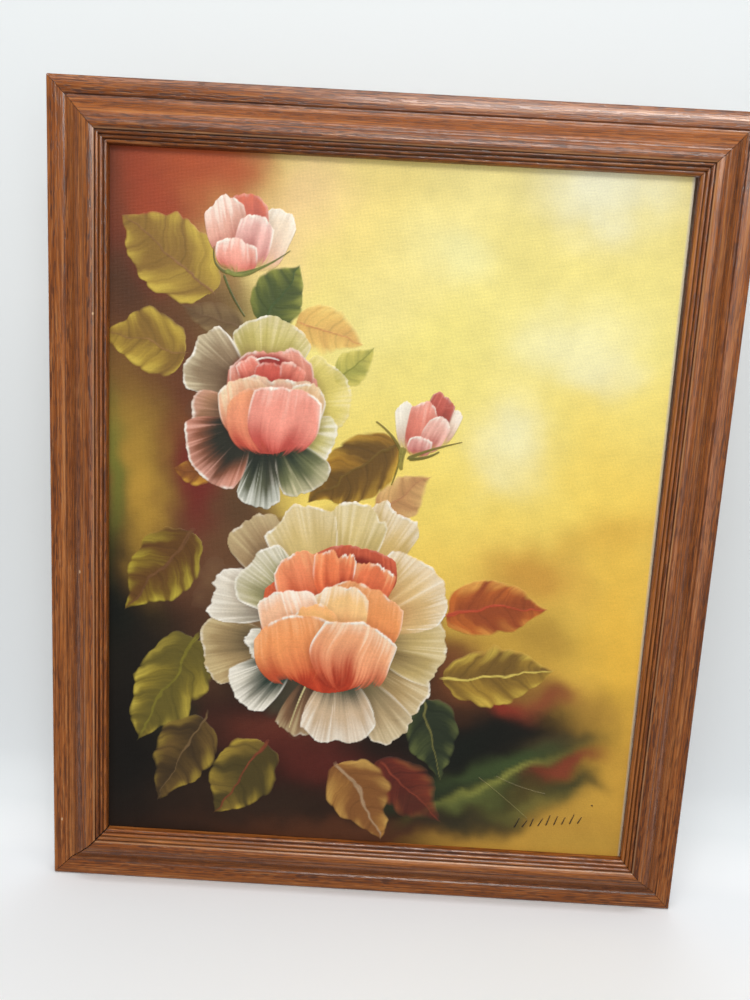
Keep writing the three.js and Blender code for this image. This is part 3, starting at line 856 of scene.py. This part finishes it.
# %% The ground's colours on the front, primed cloth elsewhere
cloth_across = (cloth_points[:, 0] - sight_left) / MM
cloth_down = (sight_top - cloth_points[:, 2]) / MM
cloth_colour = ground_colour(cloth_across, cloth_down)
on_front = np.zeros(len(cloth_points), bool)
on_front[: (CELLS[0] + 1) * (CELLS[1] + 1)] = True
PRIMED = tint(226, 220, 204)
cloth_colour[~on_front] = PRIMED
BARE_EDGE = 1.4 * MM  # where the paint stops short of the fold
edge_gap = np.minimum(
    CLOTH_WIDE / 2 - np.abs(cloth_outer[:, 0]), CLOTH_HIGH / 2 - np.abs(cloth_outer[:, 2]))
bare = np.zeros(len(cloth_points))
bare[:count] = smooth(1 - edge_gap / BARE_EDGE) * on_front[:count]
cloth_colour = mixed(cloth_colour, np.broadcast_to(PRIMED, cloth_colour.shape), bare)
canvas = mesh_from("painted_canvas", cloth_points, all_faces, cloth_colour)
print(f"canvas {CLOTH_WIDE / MM:.0f} x {CLOTH_HIGH / MM:.0f} mm, {len(canvas.data.polygons)} faces")


# %% [markdown]
# ## Materials
# Small helpers keep the node trees short: a new material, a node with its inputs set, and short
# cuts for the nodes that are used most.


# %% Helpers for node materials
def new_material(name):
    """A material with its tree and its shader."""
    material = bpy.data.materials.new(name)
    material.use_nodes = True
    tree = material.node_tree
    tree.nodes.clear()
    output = tree.nodes.new("ShaderNodeOutputMaterial")
    shader = tree.nodes.new("ShaderNodeBsdfPrincipled")
    tree.links.new(shader.outputs["BSDF"], output.inputs["Surface"])
    return material, tree, shader


def node(tree, kind, settings=None, **inputs):
    """A node with its settings and inputs. An input may be a value or another node's socket."""
    made = tree.nodes.new(kind)
    for key, value in (settings or {}).items():
        setattr(made, key, value)
    for key, value in inputs.items():
        socket = made.inputs[int(key[1:])] if key[0] == "_" and key[1:].isdigit() else made.inputs[key]
        if isinstance(value, bpy.types.NodeSocket):
            tree.links.new(value, socket)
        else:
            socket.default_value = value
    return made


def ramp(tree, fac, stops):
    """Colours at places from 0 to 1."""
    made = tree.nodes.new("ShaderNodeValToRGB")
    elements = made.color_ramp.elements
    while len(elements) < len(stops):
        elements.new(0.5)
    for element, (place, colour) in zip(elements, stops):
        element.position = place
        element.color = (*colour, 1) if len(colour) == 3 else colour
    tree.links.new(fac, made.inputs["Fac"])
    return made.outputs["Color"]


# %% Short cuts for common nodes
def maths(tree, operation, one, other=0.0):
    return node(tree, "ShaderNodeMath", {"operation": operation}, _0=one, _1=other).outputs[0]


def scaled(tree, value, by, plus=0.0):
    """value * by + plus"""
    product = maths(tree, "MULTIPLY", value, by)
    return maths(tree, "ADD", product, plus) if plus else product


def vectors(tree, operation, **inputs):
    return node(tree, "ShaderNodeVectorMath", {"operation": operation}, **inputs).outputs


def span(tree, value, low, high):
    """0 below low, 1 above high."""
    return node(tree, "ShaderNodeMapRange", Value=value, _1=low, _2=high).outputs[0]


def mottle(tree, place, scale, detail, roughness=0.5):
    return node(tree, "ShaderNodeTexNoise", Vector=place, Scale=scale, Detail=detail,
                Roughness=roughness).outputs["Fac"]


def own_place(tree):
    """Places on the piece, which its patterns follow."""
    return node(tree, "ShaderNodeTexCoord").outputs["Object"]


def colour_mix(tree, share, one, other):
    made = node(tree, "ShaderNodeMix", {"data_type": "RGBA"}, _0=share, _6=one, _7=other)
    return made.outputs[2]


def bump(tree, shader, height, strength, distance):
    made = node(tree, "ShaderNodeBump", Height=height, Strength=strength, Distance=distance)
    tree.links.new(made.outputs["Normal"], shader.inputs["Normal"])


def solid(red, green, blue):
    """A colour as seen on a screen, with the fourth number that a shader's socket asks for."""
    return (*tint(red, green, blue), 1)


# %% [markdown]
# ### Oil paint on cloth
# The attribute gives the broad colour. Over it go the marks that are finer than the mesh: the
# bristles of the brush, drawn out along their pull, and the weave of the cloth, which shows in the
# thin paint of the ground and less in the thick paint of the petals. The bump of both catches the
# light, and the varnish leaves a soft sheen. The weave is also painted into the colour, lighter on
# its raised threads and darker between them: painted highlight and painted shade.


# %% The weave
THREAD = 0.9 * MM  # from one thread of the cloth to the next but one
BANDS = 0.3142  # metres from band to band of a wave texture at scale 1
BRISTLES = (60, 60, 900)  # marks of the brush: fine across its pull, long along it
BRUSH_TILT = math.radians(-32)


def weave_height(tree, place):
    """Threads over and under, with the slubs of a cheap cotton."""
    slub = node(tree, "ShaderNodeTexNoise", Vector=place, Scale=420.0, Detail=2.0)
    wander = vectors(tree, "SCALE", Vector=slub.outputs["Color"], Scale=0.0006)[0]
    moved = vectors(tree, "ADD", _0=place, _1=wander)[0]
    waves = []
    for direction in ("X", "Z"):
        wave = node(tree, "ShaderNodeTexWave", {"wave_type": "BANDS", "bands_direction": direction},
                    Vector=moved, Scale=BANDS / THREAD, Distortion=0.6, Detail=1.0)
        waves.append(wave.outputs["Fac"])
    return maths(tree, "ADD", waves[0], waves[1])


# %% The paint's colour and gloss
def oil_paint(name, weave, bristle, roughness, sheen):
    """weave and bristle say how much the cloth and the brush show."""
    material, tree, shader = new_material(name)
    paint = node(tree, "ShaderNodeVertexColor", {"layer_name": "paint"})
    place = own_place(tree)
    turned_place = node(tree, "ShaderNodeMapping", Vector=place, Rotation=(0, BRUSH_TILT, 0),
                        Scale=BRISTLES).outputs[0]
    hairs = mottle(tree, turned_place, 1.0, 3.0)
    cloud = mottle(tree, place, 90.0, 4.0)
    speck = mottle(tree, place, 900.0, 2.0)
    threads = weave_height(tree, place)
    tone = maths(tree, "ADD", scaled(tree, hairs, bristle), scaled(tree, cloud, 0.16))
    tone = maths(tree, "ADD", tone, scaled(tree, speck, 0.26))
    # the weave's colour: painted highlight on the raised threads and painted shade between them
    tone = maths(tree, "ADD", tone, scaled(tree, threads, weave * 0.11))
    # less the mean of all four, so that the colour stays as mixed
    tone = maths(tree, "ADD", tone, 1.0 - bristle * 0.5 - 0.08 - 0.13 - weave * 0.11)
    colour = vectors(tree, "SCALE", Vector=paint.outputs["Color"], Scale=tone)[0]
    tree.links.new(colour, shader.inputs["Base Color"])
    height = maths(tree, "ADD", scaled(tree, threads, weave * 0.5), scaled(tree, hairs, 0.8))
    bump(tree, shader, height, 0.5, 0.25 * MM)
    tree.links.new(scaled(tree, cloud, 0.2, roughness - 0.1), shader.inputs["Roughness"])
    shader.inputs["Specular IOR Level"].default_value = sheen
    return material


# %% Paint on the cloth and the films
ground_paint = oil_paint("oil_ground", weave=1.0, bristle=0.10, roughness=0.5, sheen=0.14)
thick_paint = oil_paint("oil_impasto", weave=0.45, bristle=0.12, roughness=0.46, sheen=0.2)
canvas.data.materials.append(ground_paint)
for film in films:
    film.data.materials.append(thick_paint)
    film.data.polygons.foreach_set("use_smooth", np.ones(len(film.data.polygons), bool))

# %% [markdown]
# ### Stained oak
# Red oak has long dark pores in its early wood and smooth bands between. Each rail was cut from a
# board, so the grain runs along it: every noise is stretched along the rail, the growth rings a
# hundred times and the pores ten. The reddish stain lies darkest in the pores. Painted shade darkens
# the grooves, a painted highlight runs along the ridge before the reeds, and the left rail has three
# nicks. A satin lacquer covers it, sunken over the pores.


# %% Lines along a rail
RAIL_WIDE = sight_left - outer_left
RAIL_EDGES = {  # where the outer edge lies, which way is inward, and along which axis
    "top": (outer_top, -1, 2),
    "bottom": (outer_bottom, 1, 2),
    "left": (outer_left, 1, 0),
    "right": (outer_right, -1, 0),
}
GROOVE_SHADE = [(11.9, 0.55), (28.0, 0.35), (37.0, 0.85), (39.3, 0.75), (41.7, 0.7)]  # mm in, how dark: painted shade in each groove
RIDGE_HIGHLIGHT = [(36.2, 0.5)]  # the ridge before the reeds: a painted highlight
LINE_HALF = 0.016  # half the width of such a line, as a share of the rail's
NICKS = {"left": [(156, 36), (339, 25), (540, 7)]}  # mm down and in from the outer corner


def line_stops(lines):
    """Stops of a ramp that is black but for thin lines at these places on the rail."""
    stops = [(0.0, (0, 0, 0))]
    for place, share in lines:
        at = place * MM / RAIL_WIDE
        stops += [(at - LINE_HALF, (0, 0, 0)), (at, (share,) * 3), (at + LINE_HALF, (0, 0, 0))]
    return stops


# %% Oak
def oak(side, along, seed):
    """along is 'X' or 'Z', the direction of the rail."""
    material, tree, shader = new_material(f"stained_oak_{side}")
    place = own_place(tree)

    def stretched(along_scale, across_scale, detail, roughness=0.5):
        scale = [across_scale] * 3
        scale["XYZ".index(along)] = along_scale
        moved = node(tree, "ShaderNodeMapping", Vector=place, Scale=scale,
                     Location=(seed * 3.7, seed * 1.3, seed * 2.1)).outputs[0]
        return mottle(tree, moved, 1.0, detail, roughness)

    rings = stretched(1.8, 170.0, 4.0, 0.6)
    cloud = stretched(6.0, 22.0, 2.0)
    fibres = stretched(24.0, 950.0, 3.0, 0.6)
    pores = span(tree, stretched(105.0, 1150.0, 1.0), 0.52, 0.58)
    early = span(tree, rings, 0.40, 0.60)
    pores = maths(tree, "MULTIPLY", pores, scaled(tree, early, 0.7, 0.3))
    wood = ramp(tree, rings, [
        (0.34, solid(176, 107, 48)),
        (0.50, solid(150, 82, 31)),
        (0.64, solid(112, 57, 18)),
    ])
    axes = node(tree, "ShaderNodeSeparateXYZ", Vector=place)
    edge, inward, axis = RAIL_EDGES[side]
    inset = maths(tree, "SUBTRACT", axes.outputs[axis], edge)
    inset = scaled(tree, inset, inward / RAIL_WIDE)
    grain_and_painted_light = [  # where it lies, and its colour, from the wood outwards: grain, pores, the ridge's painted highlight, the grooves' painted shade and the nicks
        (scaled(tree, span(tree, cloud, 0.35, 0.7), 0.5), solid(148, 82, 30)),
        (scaled(tree, span(tree, fibres, 0.49, 0.60), 0.55), solid(82, 41, 15)),
        (scaled(tree, span(tree, fibres, 0.45, 0.34), 0.45), solid(192, 136, 84)),
        (scaled(tree, pores, 0.78), solid(62, 27, 9)),
        # a painted highlight along the ridge before the reeds
        (ramp(tree, inset, line_stops(RIDGE_HIGHLIGHT)), solid(206, 158, 114)),
        # painted shade along the grooves
        (ramp(tree, inset, line_stops(GROOVE_SHADE)), solid(52, 24, 10)),
    ]
    for down, across in NICKS.get(side, []):
        middle_of_nick = (outer_left + across * MM, 0.0, outer_top - down * MM)
        off = vectors(tree, "SUBTRACT", _0=place, _1=middle_of_nick)[0]
        flat = vectors(tree, "MULTIPLY", _0=off, _1=(1.0, 0.0, 0.55))[0]
        far = vectors(tree, "LENGTH", _0=flat)["Value"]
        ragged = maths(tree, "ADD", far, scaled(tree, fibres, 0.9 * MM))
        grain_and_painted_light.append((span(tree, ragged, 1.25 * MM, 0.85 * MM), solid(206, 168, 128)))
    for share, colour in grain_and_painted_light:
        wood = colour_mix(tree, share, wood, colour)
    tree.links.new(wood, shader.inputs["Base Color"])
    bump(tree, shader, maths(tree, "SUBTRACT", scaled(tree, fibres, 0.35), pores), 0.3, 0.3 * MM)
    tree.links.new(scaled(tree, pores, 0.15, 0.25), shader.inputs["Roughness"])
    shader.inputs["Specular IOR Level"].default_value = 0.36
    return material


# %% Oak on the rails
def give(object_name, material):
    """The piece has this material and no other."""
    piece = bpy.data.objects[object_name]
    piece.data.materials.clear()
    piece.data.materials.append(material)


SIDES = (("top", "X"), ("bottom", "X"), ("left", "Z"), ("right", "Z"))
for number, (side, along) in enumerate(SIDES):
    give(f"frame_rail_{side}", oak(side, along, number + 1))
print(f"{len(SIDES)} rails of oak")


# %% Pine for the bars
def pine(name, along):
    """along is 'X' or 'Z', the direction of the bar."""
    material, tree, shader = new_material(name)
    scale = (2.0, 60.0, 60.0) if along == "X" else (60.0, 60.0, 2.0)
    grain = node(tree, "ShaderNodeMapping", Vector=own_place(tree), Scale=scale).outputs[0]
    bands = mottle(tree, grain, 3.0, 4.0)
    colour = ramp(tree, bands, [
        (0.35, solid(216, 186, 138)),
        (0.55, solid(198, 160, 108)),
        (0.68, solid(168, 122, 74)),
    ])
    tree.links.new(colour, shader.inputs["Base Color"])
    bump(tree, shader, bands, 0.2, 0.3 * MM)
    shader.inputs["Roughness"].default_value = 0.7
    return material


for side, along in SIDES:
    give(f"stretcher_bar_{side}", pine(f"pine_{side}", along))
print(f"{len(SIDES)} bars of pine")

# %% [markdown]
# ## Staples, brads and corner pins
# Behind, steel wire does the holding. Staples hold the cloth's margins to the bars, brads driven
# into the rabbet keep the stretched canvas in the frame, and pins lie across the mitres. All are
# the same thing: a bent wire set again and again along a path. Geometry Nodes do that: the path is
# resampled at a spacing, one wire is set on each point, turned to the path, and swayed a little as
# a hand does. The tree below serves all three, through its inputs.


# %% One bent wire
RING_SIDES = 6


def link_all(tree, made, **sockets):
    for name, socket in sockets.items():
        tree.links.new(socket, made.inputs[name.replace("_", " ")])
    return made.outputs[0]


def bent_wire(tree, given):
    """A crown and two legs, sized by the tree's inputs."""
    half = scaled(tree, given["Crown"], 0.5)
    less = scaled(tree, half, -1.0)
    drop = scaled(tree, given["Leg"], -1.0)

    def point(x, z):
        return node(tree, "ShaderNodeCombineXYZ", X=x, Z=z).outputs[0]

    ring = node(tree, "GeometryNodeCurvePrimitiveCircle", Resolution=RING_SIDES,
                Radius=given["Wire Radius"]).outputs[0]
    parts = node(tree, "GeometryNodeJoinGeometry")
    crown = ((less, 0.0), (half, 0.0))
    left_leg = ((less, 0.0), (less, drop))
    right_leg = ((half, 0.0), (half, drop))
    for start, end in (crown, left_leg, right_leg):
        line = node(tree, "GeometryNodeCurvePrimitiveLine", Start=point(*start), End=point(*end))
        rod = tree.nodes.new("GeometryNodeCurveToMesh")
        rod.inputs["Fill Caps"].default_value = True
        whole = link_all(tree, rod, Curve=line.outputs[0], Profile_Curve=ring)
        tree.links.new(whole, parts.inputs[0])
    return parts.outputs[0]


# %% The way each wire is turned
def swayed_aim(tree, given):
    """Along the path, with its legs towards the front, and a little off by chance."""
    tangent = tree.nodes.new("GeometryNodeInputTangent").outputs[0]
    aim = node(tree, "FunctionNodeAlignRotationToVector", {"axis": "X"}, Vector=tangent).outputs[0]
    aim = node(tree, "FunctionNodeAlignRotationToVector", {"axis": "Z", "pivot_axis": "X"},
               Rotation=aim, Vector=(0, 1, 0)).outputs[0]
    least = scaled(tree, given["Sway"], -1.0)
    chance = tree.nodes.new("FunctionNodeRandomValue")
    tree.links.new(least, chance.inputs[2])
    tree.links.new(given["Sway"], chance.inputs[3])
    tree.links.new(given["Seed"], chance.inputs["Seed"])
    angle = maths(tree, "ADD", chance.outputs[1], given["Quarter Turn"])
    swing = node(tree, "FunctionNodeAxisAngleToRotation", Axis=(0, 0, 1), Angle=angle).outputs[0]
    swung = node(tree, "FunctionNodeRotateRotation", {"rotation_space": "LOCAL"})
    return link_all(tree, swung, Rotation=aim, Rotate_By=swing)


# %% A tree that sets wires along a path
def wire_tree():
    tree = bpy.data.node_groups.new("wires_along_a_path", "GeometryNodeTree")
    face = tree.interface
    face.new_socket("Geometry", in_out="INPUT", socket_type="NodeSocketGeometry")
    face.new_socket("Geometry", in_out="OUTPUT", socket_type="NodeSocketGeometry")
    for label in ("Spacing", "Crown", "Leg", "Wire Radius", "Quarter Turn", "Sway"):
        face.new_socket(label, in_out="INPUT", socket_type="NodeSocketFloat")
    face.new_socket("Seed", in_out="INPUT", socket_type="NodeSocketInt")
    face.new_socket("Material", in_out="INPUT", socket_type="NodeSocketMaterial")
    given = tree.nodes.new("NodeGroupInput").outputs
    curve = node(tree, "GeometryNodeMeshToCurve", Mesh=given["Geometry"]).outputs[0]
    spaced = node(tree, "GeometryNodeResampleCurve", {"mode": "LENGTH"}, Curve=curve,
                  Length=given["Spacing"]).outputs[0]
    placed = link_all(tree, tree.nodes.new("GeometryNodeInstanceOnPoints"), Points=spaced,
                      Instance=bent_wire(tree, given), Rotation=swayed_aim(tree, given))
    real = node(tree, "GeometryNodeRealizeInstances", Geometry=placed).outputs[0]
    made = node(tree, "GeometryNodeSetMaterial", Geometry=real, Material=given["Material"]).outputs[0]
    tree.links.new(made, tree.nodes.new("NodeGroupOutput").inputs[0])
    return tree


WIRES = wire_tree()
print(f"{len(WIRES.nodes)} nodes in the tree")


# %% Wires along given paths
def wires(name, paths, material, **sizes):
    """Set wires along paths, each a list of points, and return them as one plain mesh."""
    corners, edges = [], []
    for path in paths:
        first = len(corners)
        corners += path
        edges += [(first + i, first + i + 1) for i in range(len(path) - 1)]
    guide_mesh = bpy.data.meshes.new(name + "_path")
    guide_mesh.from_pydata(corners, edges, [])
    guide = bpy.data.objects.new(name + "_path", guide_mesh)
    bpy.context.scene.collection.objects.link(guide)
    modifier = guide.modifiers.new("wires", "NODES")
    modifier.node_group = WIRES
    values = dict(sizes, Material=material)
    for item in WIRES.interface.items_tree:
        if item.in_out == "INPUT" and item.name in values:
            modifier[item.identifier] = values[item.name]
    shape = guide.evaluated_get(bpy.context.evaluated_depsgraph_get())
    made = bpy.data.objects.new(name, bpy.data.meshes.new_from_object(shape))
    guide.modifiers.remove(modifier)
    bpy.data.objects.remove(guide)
    bpy.context.scene.collection.objects.link(made)
    print(f"{name}: {len(made.data.polygons)} faces")
    return made


# %% Steel wire
def steel():
    material, tree, shader = new_material("steel_wire")
    dull = mottle(tree, own_place(tree), 260.0, 3.0)
    colour = ramp(tree, dull, [(0.35, solid(178, 176, 170)), (0.7, solid(128, 120, 108))])
    tree.links.new(colour, shader.inputs["Base Color"])
    tree.links.new(scaled(tree, dull, 0.4, 0.18), shader.inputs["Roughness"])
    shader.inputs["Metallic"].default_value = 1.0
    return material


# %% Set the wires
steel_wire = steel()
cloth_lies_at = cloth_back + 0.24 * MM  # the middle of a staple's crown, pressed into the cloth
CORNERS = ((-1, 1), (1, 1), (1, -1), (-1, -1))  # left or right, up or down: clockwise from the first


def inset_path(inset, level, gap):
    """Four runs round the canvas, inset from its edge, each stopping short of the corners."""
    half_w, half_h = CLOTH_WIDE / 2 - inset, CLOTH_HIGH / 2 - inset
    places = [Vector((x * half_w, level, z * half_h)) for x, z in CORNERS]
    runs = []
    for start, end in zip(places, places[1:] + places[:1]):
        pull_in = (end - start).normalized() * gap
        run = turned(np.array([start + pull_in, end - pull_in]))
        runs.append([tuple(p) for p in run])
    return runs


staples = wires("margin_staples", inset_path(12 * MM, cloth_lies_at, 14 * MM), steel_wire,
                **{"Spacing": 48 * MM, "Crown": 10 * MM, "Leg": 4 * MM, "Wire Radius": 0.45 * MM,
                   "Quarter Turn": 0.0, "Sway": 0.16, "Seed": 4})
brads = wires("rabbet_brads", inset_path(0.0, cloth_back + 0.55 * MM, 60 * MM), steel_wire,
              **{"Spacing": 128 * MM, "Crown": 15 * MM, "Leg": 0.5 * MM, "Wire Radius": 0.55 * MM,
                 "Quarter Turn": math.pi / 2, "Sway": 0.10, "Seed": 8})
RABBET = 6.35 * MM
MITRE = (RABBET + 10 * MM, 34 * MM)  # the reach of the pins across each mitre
mitres = [
    [((sight_left, sight_right)[x > 0] + x * reach, 0.0, (sight_bottom, sight_top)[z > 0] + z * reach)
     for reach in MITRE]
    for x, z in CORNERS
]
pins = wires("mitre_pins", mitres, steel_wire,
             **{"Spacing": 16 * MM, "Crown": 14 * MM, "Leg": 5 * MM, "Wire Radius": 0.5 * MM,
                "Quarter Turn": math.pi / 2, "Sway": 0.07, "Seed": 2})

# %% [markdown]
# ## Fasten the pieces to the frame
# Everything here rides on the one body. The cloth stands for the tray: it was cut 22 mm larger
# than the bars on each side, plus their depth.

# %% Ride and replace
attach(canvas, BODY)
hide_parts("canvas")
for film in films:
    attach(film, BODY)
for trim in (staples, brads, pins):
    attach(trim, BODY)

# %% [markdown]
# ## Camera
# The picture hangs upright in its own axes. The camera stands about half a metre in front of it,
# a little above its middle and looking down, held slightly crooked.

# %% Camera
LENS = 26.6
PITCH, YAW, ROLL = math.radians(8.78), math.radians(0.35), math.radians(3.27)
AWAY = Vector((0.0108, 0.0370, 1.1072))  # to the picture: right, down and into, in frame widths
middle = Vector(((outer_left + outer_right) / 2, -0.015, (outer_top + outer_bottom) / 2))
camera_data = bpy.data.cameras.new("camera")
camera_data.lens = LENS
camera_data.sensor_width = 36
camera_data.clip_start = 0.01
camera = bpy.data.objects.new("camera", camera_data)
bpy.context.scene.collection.objects.link(camera)
# rows: object axes (right, down, into the picture) seen in camera axes
turn = (Euler((0, 0, ROLL)).to_matrix() @ Euler((PITCH, 0, 0)).to_matrix()
        @ Euler((0, YAW, 0)).to_matrix())


def to_model(v):
    """From the picture's right, down and into to the model's x, y and z."""
    return Vector((v[0], v[2], -v[1]))


camera.location = middle + to_model(turn.transposed() @ -(AWAY * (outer_right - outer_left)))
right_axis, down_axis, into_axis = (to_model(axis) for axis in turn)
camera.rotation_euler = Matrix((right_axis, -down_axis, -into_axis)).transposed().to_euler()
bpy.context.scene.camera = camera
print("camera at", [round(v, 3) for v in camera.location])

# %% [markdown]
# ## Floor and backdrop
# Pale paper lies under the picture and bends up behind it, as in a photographer's studio. It
# throws no light or shade on the picture, and its back is clear, so that it hides nothing from
# behind. The wall a picture hangs on is dark where the frame encloses it. A brown sheet, just
# behind the frame and inside its outline, stands for that dark in the gap beside the canvas.

# %% Pale paper
PAPER_SHADED_UPWARDS = [  # how light the paper is, from the floor upwards: painted shade, darker up the wall than on the floor
    (0.0, (0.96, 0.98, 1.0)),
    (0.10, (0.82, 0.86, 0.885)),
    (1.0, (0.765, 0.80, 0.815)),
]
SHADED = [(0.0, (0.55, 0.46, 0.36)), (1.0, (0.50, 0.42, 0.33))]


def paper(name, stops=PAPER_SHADED_UPWARDS):
    """Paper with its colours by height. Its back is clear, so that it never hides the object."""
    material, tree, shader = new_material(name)
    place = own_place(tree)
    height = node(tree, "ShaderNodeSeparateXYZ", Vector=place).outputs["Z"]
    # colour by height: on the pale paper this is painted shade, darkening it from the floor up the wall
    low = span(tree, height, floor_level, floor_level + 0.30)
    low = maths(tree, "ADD", low, scaled(tree, mottle(tree, place, 3.0, 2.0), 0.04))
    tree.links.new(ramp(tree, low, stops), shader.inputs["Base Color"])
    shader.inputs["Roughness"].default_value = 0.9
    shader.inputs["Specular IOR Level"].default_value = 0.1
    behind = node(tree, "ShaderNodeNewGeometry").outputs["Backfacing"]
    clear = tree.nodes.new("ShaderNodeBsdfTransparent").outputs[0]
    both = node(tree, "ShaderNodeMixShader", _0=behind, _1=shader.outputs[0], _2=clear).outputs[0]
    output = next(n for n in tree.nodes if n.type == "OUTPUT_MATERIAL")
    tree.links.new(both, output.inputs["Surface"])
    return material


floor_level = outer_bottom - 0.5 * MM

# %% The sweep
ROOM = 3.0
BEND = 0.06  # the radius of the bend between floor and wall
BEND_STEPS = 16
BEND_FROM = 4 * MM  # how far behind the picture's back it starts
profile = [(-ROOM, floor_level), (BEND_FROM, floor_level)]
for step in range(1, BEND_STEPS + 1):
    angle = math.pi / 2 * step / BEND_STEPS
    profile.append((BEND_FROM + BEND * math.sin(angle), floor_level + BEND * (1 - math.cos(angle))))
profile.append((BEND_FROM + BEND, ROOM))
sweep_points = [(x, y, z) for y, z in profile for x in (-ROOM, ROOM)]
sweep_faces = [(2 * i, 2 * i + 1, 2 * i + 3, 2 * i + 2) for i in range(len(profile) - 1)]
sweep = mesh_from("paper_sweep", sweep_points, sweep_faces)
sweep.data.polygons.foreach_set("use_smooth", np.ones(len(sweep.data.polygons), bool))
sweep.data.materials.append(paper("pale_paper"))


# %% The floor and the dark sheet
def sheet_of(name, corners, material):
    piece = mesh_from(name, corners, [(0, 1, 2, 3)])
    piece.data.materials.append(material)
    return piece


under = floor_level - MM
ground_sheet = sheet_of("floor", [(-ROOM, 0.0, under), (ROOM, 0.0, under), (ROOM, ROOM, under),
                                  (-ROOM, ROOM, under)], paper("floor_paper"))
INSIDE = 8 * MM  # how far the dark sheet stays inside the frame's outline
left, right = outer_left + INSIDE, outer_right - INSIDE
low, high = outer_bottom + INSIDE, outer_top - INSIDE
shade = sheet_of("shade_behind", [(left, MM, low), (right, MM, low), (right, MM, high),
                                  (left, MM, high)], paper("shaded_paper", SHADED))
for screen in (sweep, shade):
    screen.visible_shadow = False
    screen.visible_diffuse = False
    screen.visible_glossy = False
print(f"floor at {floor_level / MM:.1f} mm")

# %% [markdown]
# ## Light
# The room is soft and nearly white. A wide ceiling lamp gives most of the light. One overhead
# brightens the floor and the top rail. A narrow one is seen by gloss alone, and draws the shine
# of the lacquer along the top rail. A fill from the front lifts the shadows, and one from behind
# shows the back in other views.

# %% Lights
def soft_light(name, place, size, watts, aim, colour=(1, 1, 1)):
    """A rectangular lamp that isn't itself seen."""
    data = bpy.data.lights.new(name, "AREA")
    data.shape = "RECTANGLE"
    data.size, data.size_y = size
    data.energy = watts
    data.color = colour
    lamp = bpy.data.objects.new(name, data)
    bpy.context.scene.collection.objects.link(lamp)
    lamp.location = place
    lamp.visible_camera = False
    lamp.rotation_euler = (Vector(aim) - Vector(place)).to_track_quat("-Z", "Y").to_euler()
    return lamp


LAMPS = [  # name, place, size, watts, aim, colour
    ("ceiling", (-0.15, -1.25, 1.0), (1.5, 0.5), 15, middle, (1.0, 0.975, 0.93)),
    ("overhead", (0.05, -0.40, 1.2), (1.2, 0.3), 7, (0.05, -0.25, floor_level), (1.0, 0.99, 0.98)),
    ("glint", (0.40, -1.25, 0.53), (1.1, 0.12), 24, (0, 0, 0), (1.0, 0.98, 0.95)),
    ("fill", (0.5, -2.2, -0.3), (1.8, 1.2), 12, middle, (1.0, 0.985, 0.96)),
    ("behind", (0.5, 1.6, 0.9), (1.4, 1.0), 6, middle),
]
lamps = {row[0]: soft_light(*row) for row in LAMPS}
lamps["glint"].visible_diffuse = False
print(f"{len(lamps)} lamps")

# %% The light of the room
world = bpy.data.worlds.new("room")
world.use_nodes = True
background = world.node_tree.nodes["Background"].inputs
background["Color"].default_value = (0.95, 0.97, 1.0, 1)
background["Strength"].default_value = 0.42
bpy.context.scene.world = world
bpy.context.scene.view_settings.view_transform = "Standard"  # paint colours come out as named
